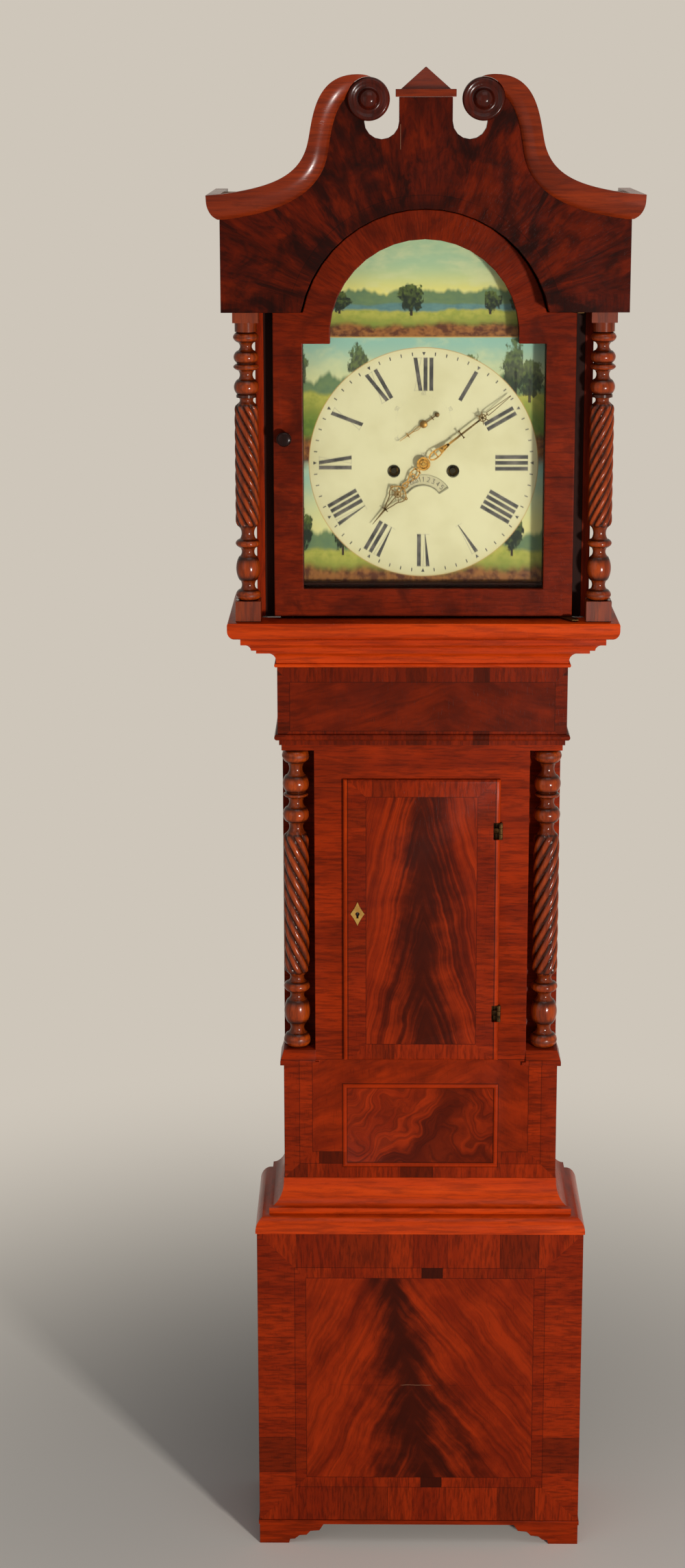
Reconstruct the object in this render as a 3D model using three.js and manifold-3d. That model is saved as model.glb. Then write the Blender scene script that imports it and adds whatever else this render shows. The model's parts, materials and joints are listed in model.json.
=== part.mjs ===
// A longcase clock in mahogany: swan-neck hood with twist columns, painted
// break-arch dial, eight-day movement with two weights, trunk and bracket base.
// Millimetres, +Z up, front towards -Y, origin at the bottom centre.
import * as THREE from "three";
import { mergeVertices } from "three/addons/utils/BufferGeometryUtils.js";
import Module from "manifold-3d";

const wasm = await Module();
wasm.setup();

// Clearances and resolution
const fitGap = 0.3;
const lap = 1;
const overrun = 5;
const fullTurn = 2 * Math.PI;
const right = fullTurn / 4;
const roundSteps = 10;
const columnSides = 12;
const weldTolerance = 1e-4;

// Driving dimensions of the case
const baseSetout = 43;
const baseDepth = 210;
const footHeight = 34;
const stripHeight = 7;
const stripProud = 1.5;
const basePanelHeight = 495;
const baseMouldingHeight = 77;
const trunkInset = 33;
const trunkSetback = 40;
const lowerTrunkHeight = 187;
const pedestalHeight = 24;
const trunkColumnHeight = 477;
const trunkRailHeight = 9;
const friezeHeight = 120;
const waistHeight = 52;
const noseHeight = 28;
const hoodHeadroom = 93;
const archHeadroom = 6;
const archMargin = 42;
const archCentreDrop = 36;
const neckRise = 199;
const finialHeight = 41;
const pedimentOverhang = 46;
const pedimentProud = 40;
const corniceDrop = 21;
const corniceHeight = 34.5;
const corniceProud = 18;
const hoodMargin = 67;
const hoodWall = 12;
const boardThickness = 14;
const frontThickness = 18;
const backboardThickness = 12;
const doorThickness = 20;
const rosetteRadius = 30;
const rosetteThickness = 22;

// Driving dimensions of the dial and the movement
const dialWidth = 356;
const dialThickness = 1.6;
const dialSill = 48;
const dialEar = 39;
const seatDrop = 74;
const windingSpread = 43.4;
const windingDrop = 12;
const secondsRise = 57.2;
const pendulumLength = 994;
const minuteReach = 156;
const hourReach = 114;
const secondsReach = 40;

// Sizes that follow the dial
const dialHalf = dialWidth / 2;
const dialArch = dialHalf - dialEar;
const archRadius = dialArch + archMargin;

// Levels, from the floor up
const hoodColumnHeight = dialWidth + hoodHeadroom;
const zStrip = footHeight;
const zBase = zStrip + stripHeight;
const zBaseTop = zBase + basePanelHeight;
const zTrunk = zBaseTop + baseMouldingHeight;
const zPedestal = zTrunk + lowerTrunkHeight;
const zColumn = zPedestal + pedestalHeight;
const zColumnTop = zColumn + trunkColumnHeight;
const zFrieze = zColumnTop + trunkRailHeight;
const zWaist = zFrieze + friezeHeight;
const zNose = zWaist + waistHeight;
const zHood = zNose + noseHeight;
const hoodColumnSeat = 0.7;
const zPediment = zHood + hoodColumnHeight + 2 * hoodColumnSeat;
const zArch = zPediment - archCentreDrop;
const zRoof = zArch + archRadius + archHeadroom;
const zCornice = zRoof - corniceDrop;
const zNeckTop = zCornice + neckRise;
const zDial = zHood + dialHalf + dialSill;
const zSeat = zDial - seatDrop;

// Planes, from the front back
const overallDepth = baseDepth + pedimentProud + fitGap + rosetteThickness;
const yBack = overallDepth / 2;
const yBase = yBack - baseDepth;
const yTrunk = yBase + trunkSetback;
const yPediment = yBase - pedimentProud;
const yBoardFront = yBack - backboardThickness;

// Half widths
const hoodOuterHalf = dialHalf + hoodMargin;
const trunkHalf = hoodOuterHalf - trunkInset;
const baseHalf = trunkHalf + baseSetout;
const hoodInnerHalf = hoodOuterHalf - hoodWall;
const pedimentHalf = hoodOuterHalf + pedimentOverhang;

// Materials, in the colours of the photograph
const paint = (color, roughness, metalness = 0) =>
  new THREE.MeshStandardMaterial({ color, roughness, metalness });
const mahogany = paint(0x8c2f10, 0.3);
const darkMahogany = paint(0x5a1d0c, 0.35);
const flame = paint(0xa03a12, 0.28);
const secondaryWood = paint(0x8a6236, 0.7);
const brass = paint(0xb8913f, 0.35, 1);
const steel = paint(0x8b8d8f, 0.35, 1);
const iron = paint(0x37373a, 0.6, 0.6);
const dialPaint = paint(0xe1e3c0, 0.45);
const glass = paint(0xdfe8ea, 0.05);
const gut = paint(0xa98c55, 0.6);

const clock = new THREE.Group();
clock.name = "longcase_clock";

function node(name, geometry, material, parent = clock) {
  const mesh = new THREE.Mesh(closed(geometry), material);
  mesh.name = name;
  parent.add(mesh);
  return mesh;
}

// Geometry helpers

// Shared vertices merged, empty triangles dropped and faces turned outward.
function closed(source) {
  const bare = source.clone();
  for (const key of Object.keys(bare.attributes)) {
    if (key !== "position") bare.deleteAttribute(key);
  }
  const merged = mergeVertices(bare, weldTolerance);
  const p = merged.attributes.position;
  const index = merged.index.array;
  const kept = [];
  let volume = 0;
  const a = new THREE.Vector3();
  const b = new THREE.Vector3();
  const c = new THREE.Vector3();
  for (let i = 0; i < index.length; i += 3) {
    const [i0, i1, i2] = [index[i], index[i + 1], index[i + 2]];
    if (i0 === i1 || i1 === i2 || i2 === i0) continue;
    kept.push(i0, i1, i2);
    a.fromBufferAttribute(p, i0);
    b.fromBufferAttribute(p, i1);
    c.fromBufferAttribute(p, i2);
    volume += a.dot(b.cross(c));
  }
  if (volume < 0) kept.reverse();
  merged.setIndex(kept);
  merged.computeVertexNormals();
  return merged;
}

function toSolid(geometry) {
  const g = closed(geometry);
  return new wasm.Manifold(new wasm.Mesh({
    numProp: 3,
    vertProperties: new Float32Array(g.attributes.position.array),
    triVerts: new Uint32Array(g.index.array),
  }));
}

function fromSolid(solid) {
  const mesh = solid.getMesh();
  const g = new THREE.BufferGeometry();
  g.setAttribute("position", new THREE.BufferAttribute(mesh.vertProperties, 3));
  g.setIndex(new THREE.BufferAttribute(mesh.triVerts, 1));
  return g;
}

function join(...parts) {
  return fromSolid(parts.map(toSolid).reduce((sum, part) => sum.add(part)));
}

function cut(body, ...tools) {
  return fromSolid(tools.map(toSolid).reduce((rest, tool) => rest.subtract(tool), toSolid(body)));
}

function box(x0, x1, y0, y1, z0, z1) {
  const g = new THREE.BoxGeometry(x1 - x0, y1 - y0, z1 - z0);
  return g.translate((x0 + x1) / 2, (y0 + y1) / 2, (z0 + z1) / 2);
}

function outline(points) {
  return new THREE.Shape(points.map(([u, v]) => new THREE.Vector2(u, v)));
}

// A front elevation in X and Z, standing from yFront back by thickness.
function frontPlate(shape, yFront, thickness, options = {}) {
  const settings = { depth: thickness, bevelEnabled: false, curveSegments: roundSteps, ...options };
  const g = new THREE.ExtrudeGeometry(shape, settings);
  return g.rotateX(right).translate(0, yFront + thickness, 0);
}

// A side elevation in Y and Z, standing from x0 to x1.
function sidePlate(shape, x0, x1) {
  const g = new THREE.ExtrudeGeometry(shape, { depth: x1 - x0, bevelEnabled: false });
  const turn = new THREE.Matrix4().makeBasis(
    new THREE.Vector3(0, 1, 0), new THREE.Vector3(0, 0, 1), new THREE.Vector3(1, 0, 0));
  return g.applyMatrix4(turn).translate(x0, 0, 0);
}

// A plan in X and Y, standing from z0 to z1.
function planPlate(shape, z0, z1) {
  const g = new THREE.ExtrudeGeometry(shape, { depth: z1 - z0, bevelEnabled: false });
  return g.translate(0, 0, z0);
}

// Rings of equal length, skinned one to the next and capped at both ends.
function loft(rings, section) {
  const count = section.length;
  const positions = rings.flat(2);
  const index = [];
  for (let r = 0; r + 1 < rings.length; r++) {
    for (let i = 0; i < count; i++) {
      const a = r * count + i;
      const b = r * count + (i + 1) % count;
      index.push(a, b, b + count, a, b + count, a + count);
    }
  }
  const points = section.map(([u, v]) => new THREE.Vector2(u, v));
  const last = (rings.length - 1) * count;
  const caps = THREE.ShapeUtils.triangulateShape(points, []);
  const sense = THREE.ShapeUtils.isClockWise(points) ? -1 : 1;
  for (const [a, b, c] of caps) {
    const [p, q] = sense > 0 ? [b, c] : [c, b];
    index.push(a, q, p, last + a, last + p, last + q);
  }
  const g = new THREE.BufferGeometry();
  g.setAttribute("position", new THREE.Float32BufferAttribute(positions, 3));
  g.setIndex(index);
  return g;
}

// A moulding round the front and both sides of a carcase, mitred at the corners.
// The section is in offset from the carcase and height.
function wrapAround(section, halfWidth, yFront, yEnd) {
  const stations = [
    (d, z) => [-halfWidth - d, yEnd, z],
    (d, z) => [-halfWidth - d, yFront - d, z],
    (d, z) => [halfWidth + d, yFront - d, z],
    (d, z) => [halfWidth + d, yEnd, z],
  ];
  return loft(stations.map((place) => section.map(([d, z]) => place(d, z))), section);
}

// Points of a quarter or other arc, from angle a0 to a1, on an ellipse.
function arc(cu, cv, ru, rv, a0, a1, steps) {
  const points = [];
  for (let i = 0; i <= steps; i++) {
    const a = a0 + (a1 - a0) * i / steps;
    points.push([cu + ru * Math.cos(a), cv + rv * Math.sin(a)]);
  }
  return points;
}

// A turned piece about a vertical axis, from points of radius and height.
function turned(points, sides = columnSides) {
  const profile = points.map(([r, h]) => new THREE.Vector2(r, h));
  return new THREE.LatheGeometry(profile, sides).rotateX(right);
}

// A turned piece about an axis along Y, from points of radius and depth.
function turnedAlongY(points, sides = columnSides) {
  const profile = points.map(([r, y]) => new THREE.Vector2(r, y));
  return new THREE.LatheGeometry(profile, sides);
}

function rodAlongY(radius, y0, y1, x = 0, z = 0, sides = 12) {
  const rod = turnedAlongY([[0, y0], [radius, y0], [radius, y1], [0, y1]], sides);
  return rod.translate(x, 0, z);
}

function rodUpright(radius, z0, z1, x = 0, y = 0, sides = 12) {
  return turned([[0, z0], [radius, z0], [radius, z1], [0, z1]], sides).translate(x, y, 0);
}

// The base: bracket feet under a strip, three panels and a moulding

const baseBoard = 16;
const footWidth = 47;
const spurReach = 103;
const sideSpurReach = 84;

// Half of a bracket foot's cut-out, from the floor up to the strip, in shares
// of the spur's width past the foot and of the foot's height.
const spurShares = [
  [0.03, 0.2], [0.17, 0.22], [0.3, 0.4], [0.5, 0.42], [0.61, 0.62], [0.87, 0.66],
];

function footOutline(length, top, reach) {
  const left = spurShares.map(([u, v]) => [footWidth + u * (reach - footWidth), v * footHeight]);
  const start = [[0, 0], [footWidth, 0], ...left, [reach, footHeight]];
  const mirrored = start.map(([u, v]) => [length - u, v]).reverse();
  return [...start, ...mirrored, [length, top], [0, top]];
}

const frontFeet = footOutline(2 * baseHalf, zBase, spurReach);
const plinthShape = outline(frontFeet.map(([u, v]) => [u - baseHalf, v]));
const strip = box(-baseHalf - stripProud, baseHalf + stripProud, yBase - stripProud, yBase + baseBoard,
  zStrip, zBase);
node("plinth_front", join(frontPlate(plinthShape, yBase, baseBoard), strip), mahogany);
node("base_front_panel",
  box(-baseHalf, baseHalf, yBase, yBase + baseBoard, zBase + fitGap, zBaseTop), flame);

function baseSide(side) {
  const length = yBack - yBase - baseBoard - fitGap;
  const feet = footOutline(length, zBaseTop, sideSpurReach);
  const board = outline(feet.map(([u, v]) => [yBase + baseBoard + fitGap + u, v]));
  const inner = baseHalf - baseBoard;
  const body = sidePlate(board, inner, baseHalf);
  const band = box(inner, baseHalf + stripProud, yBase + baseBoard + fitGap, yBack, zStrip, zBase);
  const both = join(body, band);
  return side < 0 ? both.scale(-1, 1, 1) : both;
}

node("base_side_left", baseSide(-1), mahogany);
node("base_side_right", baseSide(1), mahogany);

// Base moulding: a cavetto, a fillet and an ovolo, from the top down
const ovoloHeight = 26;
const ovoloFillet = 4;
const cavettoHeight = 42;
const cavettoFillet = 6;
const cavettoProud = 24;
const baseLedge = 2;
const baseProud = baseHalf - trunkHalf + baseLedge;
const baseMouldingEdge = 1.2;
const baseMouldingSection = [
  [fitGap, zBaseTop + fitGap],
  [baseProud, zBaseTop + fitGap],
  ...arc(cavettoProud + ovoloFillet, zBaseTop + ovoloFillet, baseProud - cavettoProud - ovoloFillet,
    ovoloHeight - ovoloFillet, 0, right, 5),
  [cavettoProud, zBaseTop + ovoloHeight],
  [cavettoProud, zTrunk - cavettoHeight],
  ...arc(cavettoProud, zTrunk - cavettoFillet, cavettoProud - baseMouldingEdge,
    cavettoHeight - cavettoFillet, 3 * right, 2 * right, 6).slice(1),
  [baseMouldingEdge, zTrunk],
  [fitGap, zTrunk],
];
node("base_moulding", wrapAround(baseMouldingSection, trunkHalf, yTrunk, yBack), mahogany);

// The trunk: sides, a front with the door opening and the column recesses

const trunkLap = 16;
const trunkFoot = zBaseTop - trunkLap;
const recess = 49;
const recessWall = 12;
const columnRadius = 21;
const doorStile = 51.5;
const doorLip = 8;
const doorLipThickness = 8;
const doorTopDrop = 43.5;
const doorFoot = 9.5;
const seatThickness = 20;
const cheekRise = zSeat - seatThickness - fitGap;

const trunkTop = zNose - fitGap;
const yRecess = yTrunk + recess;
const ySide = yTrunk + frontThickness + fitGap;
const recessHalf = trunkHalf - recess;
const openingHalf = recessHalf - doorStile;
const zDoor = zPedestal + doorFoot;
const zDoorTop = zColumnTop - doorTopDrop;

function trunkSide(side) {
  const board = outline([
    [ySide, trunkFoot], [yBack, trunkFoot], [yBack, zHood],
    [yBoardFront - fitGap, zHood], [yBoardFront - fitGap, cheekRise],
    [ySide, cheekRise], [ySide, zFrieze + fitGap],
    [yRecess + recessWall + fitGap, zFrieze + fitGap],
    [yRecess + recessWall + fitGap, zPedestal - fitGap], [ySide, zPedestal - fitGap],
  ]);
  const body = sidePlate(board, trunkHalf - boardThickness, trunkHalf);
  return side < 0 ? body.scale(-1, 1, 1) : body;
}

node("trunk_side_left", trunkSide(-1), mahogany);
node("trunk_side_right", trunkSide(1), mahogany);

// A bead of quarter-round section raised round a panel
function beadFrame(halfWidth, z0, z1, width, proud, yFace) {
  const shape = outline([
    [-halfWidth + proud, z0 + proud], [halfWidth - proud, z0 + proud],
    [halfWidth - proud, z1 - proud], [-halfWidth + proud, z1 - proud],
  ]);
  const inset = width - proud;
  shape.holes.push(new THREE.Path([
    new THREE.Vector2(-halfWidth + inset, z0 + inset), new THREE.Vector2(-halfWidth + inset, z1 - inset),
    new THREE.Vector2(halfWidth - inset, z1 - inset), new THREE.Vector2(halfWidth - inset, z0 + inset),
  ]));
  const options = { bevelEnabled: true, bevelSize: proud, bevelThickness: proud, bevelSegments: 2 };
  return frontPlate(shape, yFace, frontThickness / 2, options);
}

const panelHalf = 121;
const panelFoot = 18;
const panelHeight = 137.5;
const beadWidth = 7;
const beadProud = 2.5;
const pedestalSplay = 5.5;
const pedestalFillet = 6;

function pedestal(side) {
  const inner = recessHalf;
  const top = zColumn;
  const foot = zPedestal + pedestalFillet;
  const level = (z, splay) => [
    [inner, yTrunk - splay, z], [trunkHalf + splay, yTrunk - splay, z],
    [trunkHalf + splay, yRecess + recessWall, z], [inner, yRecess + recessWall, z],
  ];
  const plan = level(0, 0).map(([x, y]) => [x, y]);
  const block = loft([level(foot, pedestalSplay), level(top, 0)], plan);
  const fillet = box(inner - pedestalFillet, trunkHalf + pedestalSplay,
    yTrunk - pedestalSplay, yRecess + recessWall, zPedestal, foot);
  const both = join(block, fillet);
  return side < 0 ? both.scale(-1, 1, 1) : both;
}

function recessLining(side) {
  const wall = box(recessHalf - recessWall, recessHalf, yTrunk + frontThickness - lap, yRecess + recessWall,
    zPedestal, zFrieze);
  const back = box(recessHalf - lap, trunkHalf, yRecess, yRecess + recessWall, zPedestal, zFrieze);
  const head = box(recessHalf - lap, trunkHalf, yTrunk, yRecess + recessWall, zColumnTop, zFrieze);
  const lining = join(wall, back, head);
  return side < 0 ? lining.scale(-1, 1, 1) : lining;
}

// Hinges of the trunk door
const hingeHeight = 26;
const hingeLeaf = 1.3;
const knuckleRadius = 3.2;
const hingeOffset = 0.5;
const hingeSetout = 5.5;
const hingeX = openingHalf + doorLip + hingeOffset;
const hingeY = yTrunk - hingeSetout;
const hingeLevelShares = [0.17, 0.82];
const leafDepth = 13;
const leafClear = 0.4;

const hingeLevels = hingeLevelShares.map((share) => zDoor + share * (zDoorTop - zDoor));
const leafPocket = (z) => box(openingHalf - overrun, openingHalf + hingeLeaf + leafClear,
  yTrunk - overrun, yTrunk + leafDepth + leafClear,
  z - hingeHeight / 2 - leafClear, z + hingeHeight / 2 + leafClear);

function trunkFront() {
  const edge = outline([
    [-trunkHalf, trunkFoot], [trunkHalf, trunkFoot], [trunkHalf, zPedestal], [recessHalf, zPedestal],
    [recessHalf, zFrieze], [trunkHalf, zFrieze], [trunkHalf, trunkTop],
    [-trunkHalf, trunkTop], [-trunkHalf, zFrieze], [-recessHalf, zFrieze],
    [-recessHalf, zPedestal], [-trunkHalf, zPedestal],
  ]);
  edge.holes.push(new THREE.Path([
    new THREE.Vector2(-openingHalf, zDoor + doorLip), new THREE.Vector2(-openingHalf, zDoorTop - doorLip),
    new THREE.Vector2(openingHalf, zDoorTop - doorLip), new THREE.Vector2(openingHalf, zDoor + doorLip),
  ]));
  const board = frontPlate(edge, yTrunk, frontThickness);
  const bead = beadFrame(panelHalf, zTrunk + panelFoot, zTrunk + panelFoot + panelHeight,
    beadWidth, beadProud, yTrunk);
  const body = join(board, bead, pedestal(-1), pedestal(1), recessLining(-1), recessLining(1));
  // The bolt shoots into a notch that is open at the back of the stile.
  const mortise = box(-openingHalf - boltThrow - overrun, -openingHalf + overrun,
    yBolt - boltDepth / 2 - leafClear, yTrunk + frontThickness + overrun,
    zLock - boltHeight / 2 - leafClear, zLock + boltHeight / 2 + leafClear);
  return cut(body, mortise, ...hingeLevels.map(leafPocket));
}

// The lock of the trunk door
const boltThrow = 8;
const boltDepth = 5;
const boltHeight = 16;
const lockWidth = 44;
const lockHeight = 60;
const lockDepth = 12;
const lockProud = 4;
const lockWall = 1.6;
const lockRise = 237;
const boltSetback = 5;
const zLock = zDoor + lockRise;
const yDoorFace = yTrunk - doorLipThickness - fitGap;
const doorBody = 14;
const yDoorBack = yTrunk + doorBody;
const yBolt = yDoorBack - boltSetback;
const doorClear = 1;
const lockEdge = openingHalf - doorClear;

node("trunk_front", trunkFront(), mahogany);

// The frieze above the columns, with its astragal
const friezeProud = 5.4;
const friezeNeck = 2;
const astragalHeight = 18;
const astragalRadius = 5;
const friezeSection = [
  [fitGap, zFrieze + fitGap],
  [friezeProud - friezeNeck, zFrieze + fitGap],
  [friezeProud - friezeNeck, zFrieze + astragalHeight - 2 * astragalRadius],
  ...arc(friezeProud, zFrieze + astragalHeight - astragalRadius, astragalRadius, astragalRadius,
    -right, right, 5),
  [friezeProud, zWaist],
  [fitGap, zWaist],
];
node("trunk_frieze", wrapAround(friezeSection, trunkHalf, yTrunk, yBack), mahogany);

// The waist moulding: a bead and two cavettos between fillets
const waistBead = 3.3;
const beadSetout = 1;
const lowerCavetto = { proud: 7, foot: 11, width: 22, height: 15.5 };
const middleFillet = { proud: 35.3, foot: 27.3, height: 4.5 };
const upperCavetto = { proud: 42.5, foot: 33, width: 15, height: 11 };
const crownProud = 57.4;

// A hollow quarter of a moulding, from its foot out to its head
function hollow({ proud, foot, width, height }, steps) {
  return arc(proud + width, zWaist + foot, width, height, 2 * right, right, steps);
}

const waistSection = [
  [fitGap, zWaist + fitGap],
  ...arc(friezeProud + beadSetout, zWaist + fitGap + waistBead, waistBead, waistBead, -right, right, 4),
  ...hollow(lowerCavetto, 5),
  [middleFillet.proud, zWaist + middleFillet.foot],
  [middleFillet.proud, zWaist + middleFillet.foot + middleFillet.height],
  ...hollow(upperCavetto, 4).slice(0, -1),
  [crownProud, zWaist + upperCavetto.foot + upperCavetto.height],
  [crownProud, zNose],
  [fitGap, zNose],
];
node("waist_moulding", wrapAround(waistSection, trunkHalf, yTrunk, yBack), mahogany);

// The backboard runs from the base to the top of the hood
const backFoot = 24;
const innerBase = baseHalf - baseBoard - fitGap;
const innerTrunk = trunkHalf - boardThickness - fitGap;
const ear = hoodInnerHalf - 2 * fitGap;
const zEar = zHood + fitGap;
const backTop = zRoof - fitGap;
const backStep = trunkFoot - fitGap;
node("backboard", frontPlate(outline([
  [-innerBase, zBase + backFoot], [innerBase, zBase + backFoot], [innerBase, backStep],
  [innerTrunk, backStep], [innerTrunk, zEar], [ear, zEar], [ear, backTop],
  [-ear, backTop], [-ear, zEar], [-innerTrunk, zEar], [-innerTrunk, backStep],
  [-innerBase, backStep],
]), yBoardFront, backboardThickness), secondaryWood);

// The trunk door: a thumb-moulded lip in front of the opening, hung on two butts
const thumbWidth = 6;
const thumbDepth = 5;
const knuckleGap = 0.4;
const hingeNotch = (z) => box(hingeX - doorLip - lap, hingeX + overrun, yDoorFace - overrun,
  yTrunk + overrun, z - hingeHeight / 2 - knuckleGap, z + hingeHeight / 2 + knuckleGap);
const keyRadius = 3;
const keySlot = 7;
const keyInset = 14;
const xKey = keyInset - openingHalf;

function trunkDoor() {
  const halfLip = openingHalf + doorLip - thumbWidth;
  const z0 = zDoor + thumbWidth;
  const z1 = zDoorTop - thumbWidth;
  const face = outline([[-halfLip, z0], [halfLip, z0], [halfLip, z1], [-halfLip, z1]]);
  const bevel = { bevelEnabled: true, bevelSize: thumbWidth, bevelThickness: thumbDepth, bevelSegments: 3 };
  const lip = frontPlate(face, yDoorFace + thumbDepth, doorLipThickness - thumbDepth, bevel);
  const lipTrim = box(-baseHalf, baseHalf, yTrunk - fitGap, yTrunk + trunkSetback, 0, zHood);
  const body = box(-lockEdge, lockEdge, yTrunk - fitGap - lap, yDoorBack,
    zDoor + doorLip + doorClear, zDoorTop - doorLip - doorClear);
  const keyhole = join(rodAlongY(keyRadius, yDoorFace - overrun, yDoorBack + overrun, xKey, zLock),
    box(xKey - keyRadius / 2, xKey + keyRadius / 2, yDoorFace - overrun, yDoorBack + overrun,
      zLock - keySlot, zLock));
  const lockPocket = box(-lockEdge - overrun, xKey + lockWidth / 2 + leafClear,
    yDoorBack - lockDepth + lockProud, yDoorBack + overrun,
    zLock - lockHeight / 2 - leafClear, zLock + lockHeight / 2 + leafClear);
  const leafSeat = (z) => box(lockEdge - hingeLeaf - leafClear, lockEdge + overrun,
    yDoorFace - overrun, yTrunk + leafDepth + leafClear,
    z - hingeHeight / 2 - knuckleGap, z + hingeHeight / 2 + knuckleGap);
  return cut(join(cut(lip, lipTrim), body), keyhole, lockPocket,
    ...hingeLevels.map(hingeNotch), ...hingeLevels.map(leafSeat));
}

const trunkDoorGroup = new THREE.Group();
clock.add(trunkDoorGroup);
node("trunk_door", trunkDoor(), flame, trunkDoorGroup);

// The lock case stands in the pocket with its edge at the door's edge, and the
// bolt slides out of it towards the stile.
function lockCase() {
  const y0 = yDoorBack - lockDepth + lockProud + leafClear;
  const y1 = y0 + lockDepth;
  const shell = box(-lockEdge, xKey + lockWidth / 2, y0, y1, zLock - lockHeight / 2, zLock + lockHeight / 2);
  const channel = box(-lockEdge - overrun, xKey + lockWidth / 2 - lockWall,
    yBolt - boltDepth / 2 - leafClear, yBolt + boltDepth / 2 + leafClear,
    zLock - boltHeight / 2 - leafClear, zLock + boltHeight / 2 + leafClear);
  const keyway = rodAlongY(keyRadius, y0 - overrun, yBolt, xKey, zLock);
  return cut(shell, channel, keyway);
}

node("trunk_door_lock", lockCase(), brass, trunkDoorGroup);
const boltLength = 26;
node("lock_bolt", box(-lockEdge + fitGap, -lockEdge + fitGap + boltLength, yBolt - boltDepth / 2,
  yBolt + boltDepth / 2, zLock - boltHeight / 2, zLock + boltHeight / 2), steel, trunkDoorGroup);

// The escutcheon is a lozenge with incurved sides
const escutcheonHalf = 11;
const escutcheonRise = 19;
const escutcheonThickness = 1.2;
const escutcheonWaistShares = [0.42, 0.42];

function escutcheon() {
  const [wu, wv] = escutcheonWaistShares;
  const shape = new THREE.Shape();
  const tips = [[0, escutcheonRise], [escutcheonHalf, 0], [0, -escutcheonRise], [-escutcheonHalf, 0]];
  shape.moveTo(...tips[0]);
  tips.forEach(([u, v], i) => {
    const [nu, nv] = tips[(i + 1) % tips.length];
    shape.quadraticCurveTo((u + nu) * wu, (v + nv) * wv, nu, nv);
  });
  const plate = new THREE.ExtrudeGeometry(shape, {
    depth: escutcheonThickness, bevelEnabled: false, curveSegments: 4,
  }).rotateX(right).translate(xKey, yDoorFace - fitGap, zLock);
  const hole = join(rodAlongY(keyRadius, yDoorFace - overrun, yDoorFace + overrun, xKey, zLock),
    box(xKey - keyRadius / 2, xKey + keyRadius / 2, yDoorFace - overrun, yDoorFace + overrun,
      zLock - keySlot, zLock));
  return cut(plate, hole);
}

node("trunk_door_escutcheon", escutcheon(), brass, trunkDoorGroup);

// Butt hinges: the case leaf holds the pin and the outer knuckles, the door
// leaf has the middle knuckle.
const pinRadius = 1.2;
const knuckleLength = hingeHeight / 3;
const knuckleSides = 7;
const bridge = 1.6;

function caseLeaf(z) {
  const z0 = z - hingeHeight / 2;
  const z1 = z + hingeHeight / 2;
  const leaf = box(openingHalf + fitGap / 2, openingHalf + hingeLeaf, yTrunk - bridge - fitGap,
    yTrunk + leafDepth, z0, z1);
  const arm = (a, b) => box(openingHalf + fitGap / 2, hingeX,
    yTrunk - bridge - fitGap, yTrunk - fitGap, a, b);
  const heel = (a, b) => box(hingeX - bridge, hingeX + bridge, hingeY, yTrunk - fitGap, a, b);
  const knuckle = (a, b) => rodUpright(knuckleRadius, a, b, hingeX, hingeY, knuckleSides);
  const spans = [[z0, z0 + knuckleLength - knuckleGap], [z1 - knuckleLength + knuckleGap, z1]];
  const pin = rodUpright(pinRadius, z0, z1, hingeX, hingeY, knuckleSides);
  const clearMiddle = box(openingHalf - lap, hingeX - pinRadius - lap, yTrunk - overrun, yTrunk,
    spans[0][1], spans[1][0]);
  const body = join(leaf, pin, ...spans.flatMap(([a, b]) => [arm(a, b), heel(a, b), knuckle(a, b)]));
  return cut(body, clearMiddle);
}

function doorLeaf(z) {
  const z0 = z - hingeHeight / 2;
  const z1 = z + hingeHeight / 2;
  const a = z0 + knuckleLength + knuckleGap / 2;
  const b = z1 - knuckleLength - knuckleGap / 2;
  const leaf = box(lockEdge - hingeLeaf, lockEdge, yTrunk - bridge - fitGap, yTrunk + leafDepth, z0, z1);
  const arm = box(lockEdge - hingeLeaf, hingeX,
    yTrunk - 2 * bridge - 2 * fitGap, yTrunk - bridge - fitGap, a, b);
  const knuckle = rodUpright(knuckleRadius, a, b, hingeX, hingeY, knuckleSides);
  const bore = rodUpright(pinRadius + fitGap, a - overrun, b + overrun, hingeX, hingeY, knuckleSides);
  return cut(join(leaf, arm, knuckle), bore);
}

hingeLevels.forEach((z, i) => {
  const place = ["lower", "upper"][i];
  node(`trunk_hinge_${place}_case_leaf`, caseLeaf(z), brass);
  node(`trunk_hinge_${place}_door_leaf`, doorLeaf(z), brass, trunkDoorGroup);
});

// Turned columns. Each element is a form, its share of the height and its share
// of the full radius, from the foot up.
const trunkTurningShares = [
  ["round", 0.048, 1], ["cove", 0.032, 0.5], ["round", 0.082, 0.97], ["cove", 0.027, 0.5],
  ["round", 0.034, 0.98], ["cove", 0.025, 0.5], ["twist", 0.476, 0.95], ["cove", 0.034, 0.5],
  ["round", 0.05, 0.97], ["cove", 0.032, 0.5], ["round", 0.016, 0.9], ["round", 0.057, 0.97],
  ["cove", 0.041, 0.48], ["round", 0.046, 1],
];
const hoodTurningShares = [
  ["round", 0.036, 1], ["cove", 0.029, 0.52], ["round", 0.08, 0.96], ["cove", 0.029, 0.5],
  ["round", 0.027, 0.98], ["cove", 0.038, 0.5], ["twist", 0.403, 0.96], ["cove", 0.018, 0.52],
  ["flat", 0.009, 0.8], ["round", 0.049, 0.98], ["cove", 0.029, 0.5], ["round", 0.022, 1],
  ["round", 0.04, 0.98], ["cove", 0.027, 0.46], ["round", 0.033, 1], ["flat", 0.031, 0.87],
];
const twistStrands = 6;
const twistLead = 125;
const twistValleyShare = 0.8;
const twistStep = 18;
const footSwellShare = 0.35;
const smallRoundShare = 0.048;
const pinchShare = 0.6;

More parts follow.
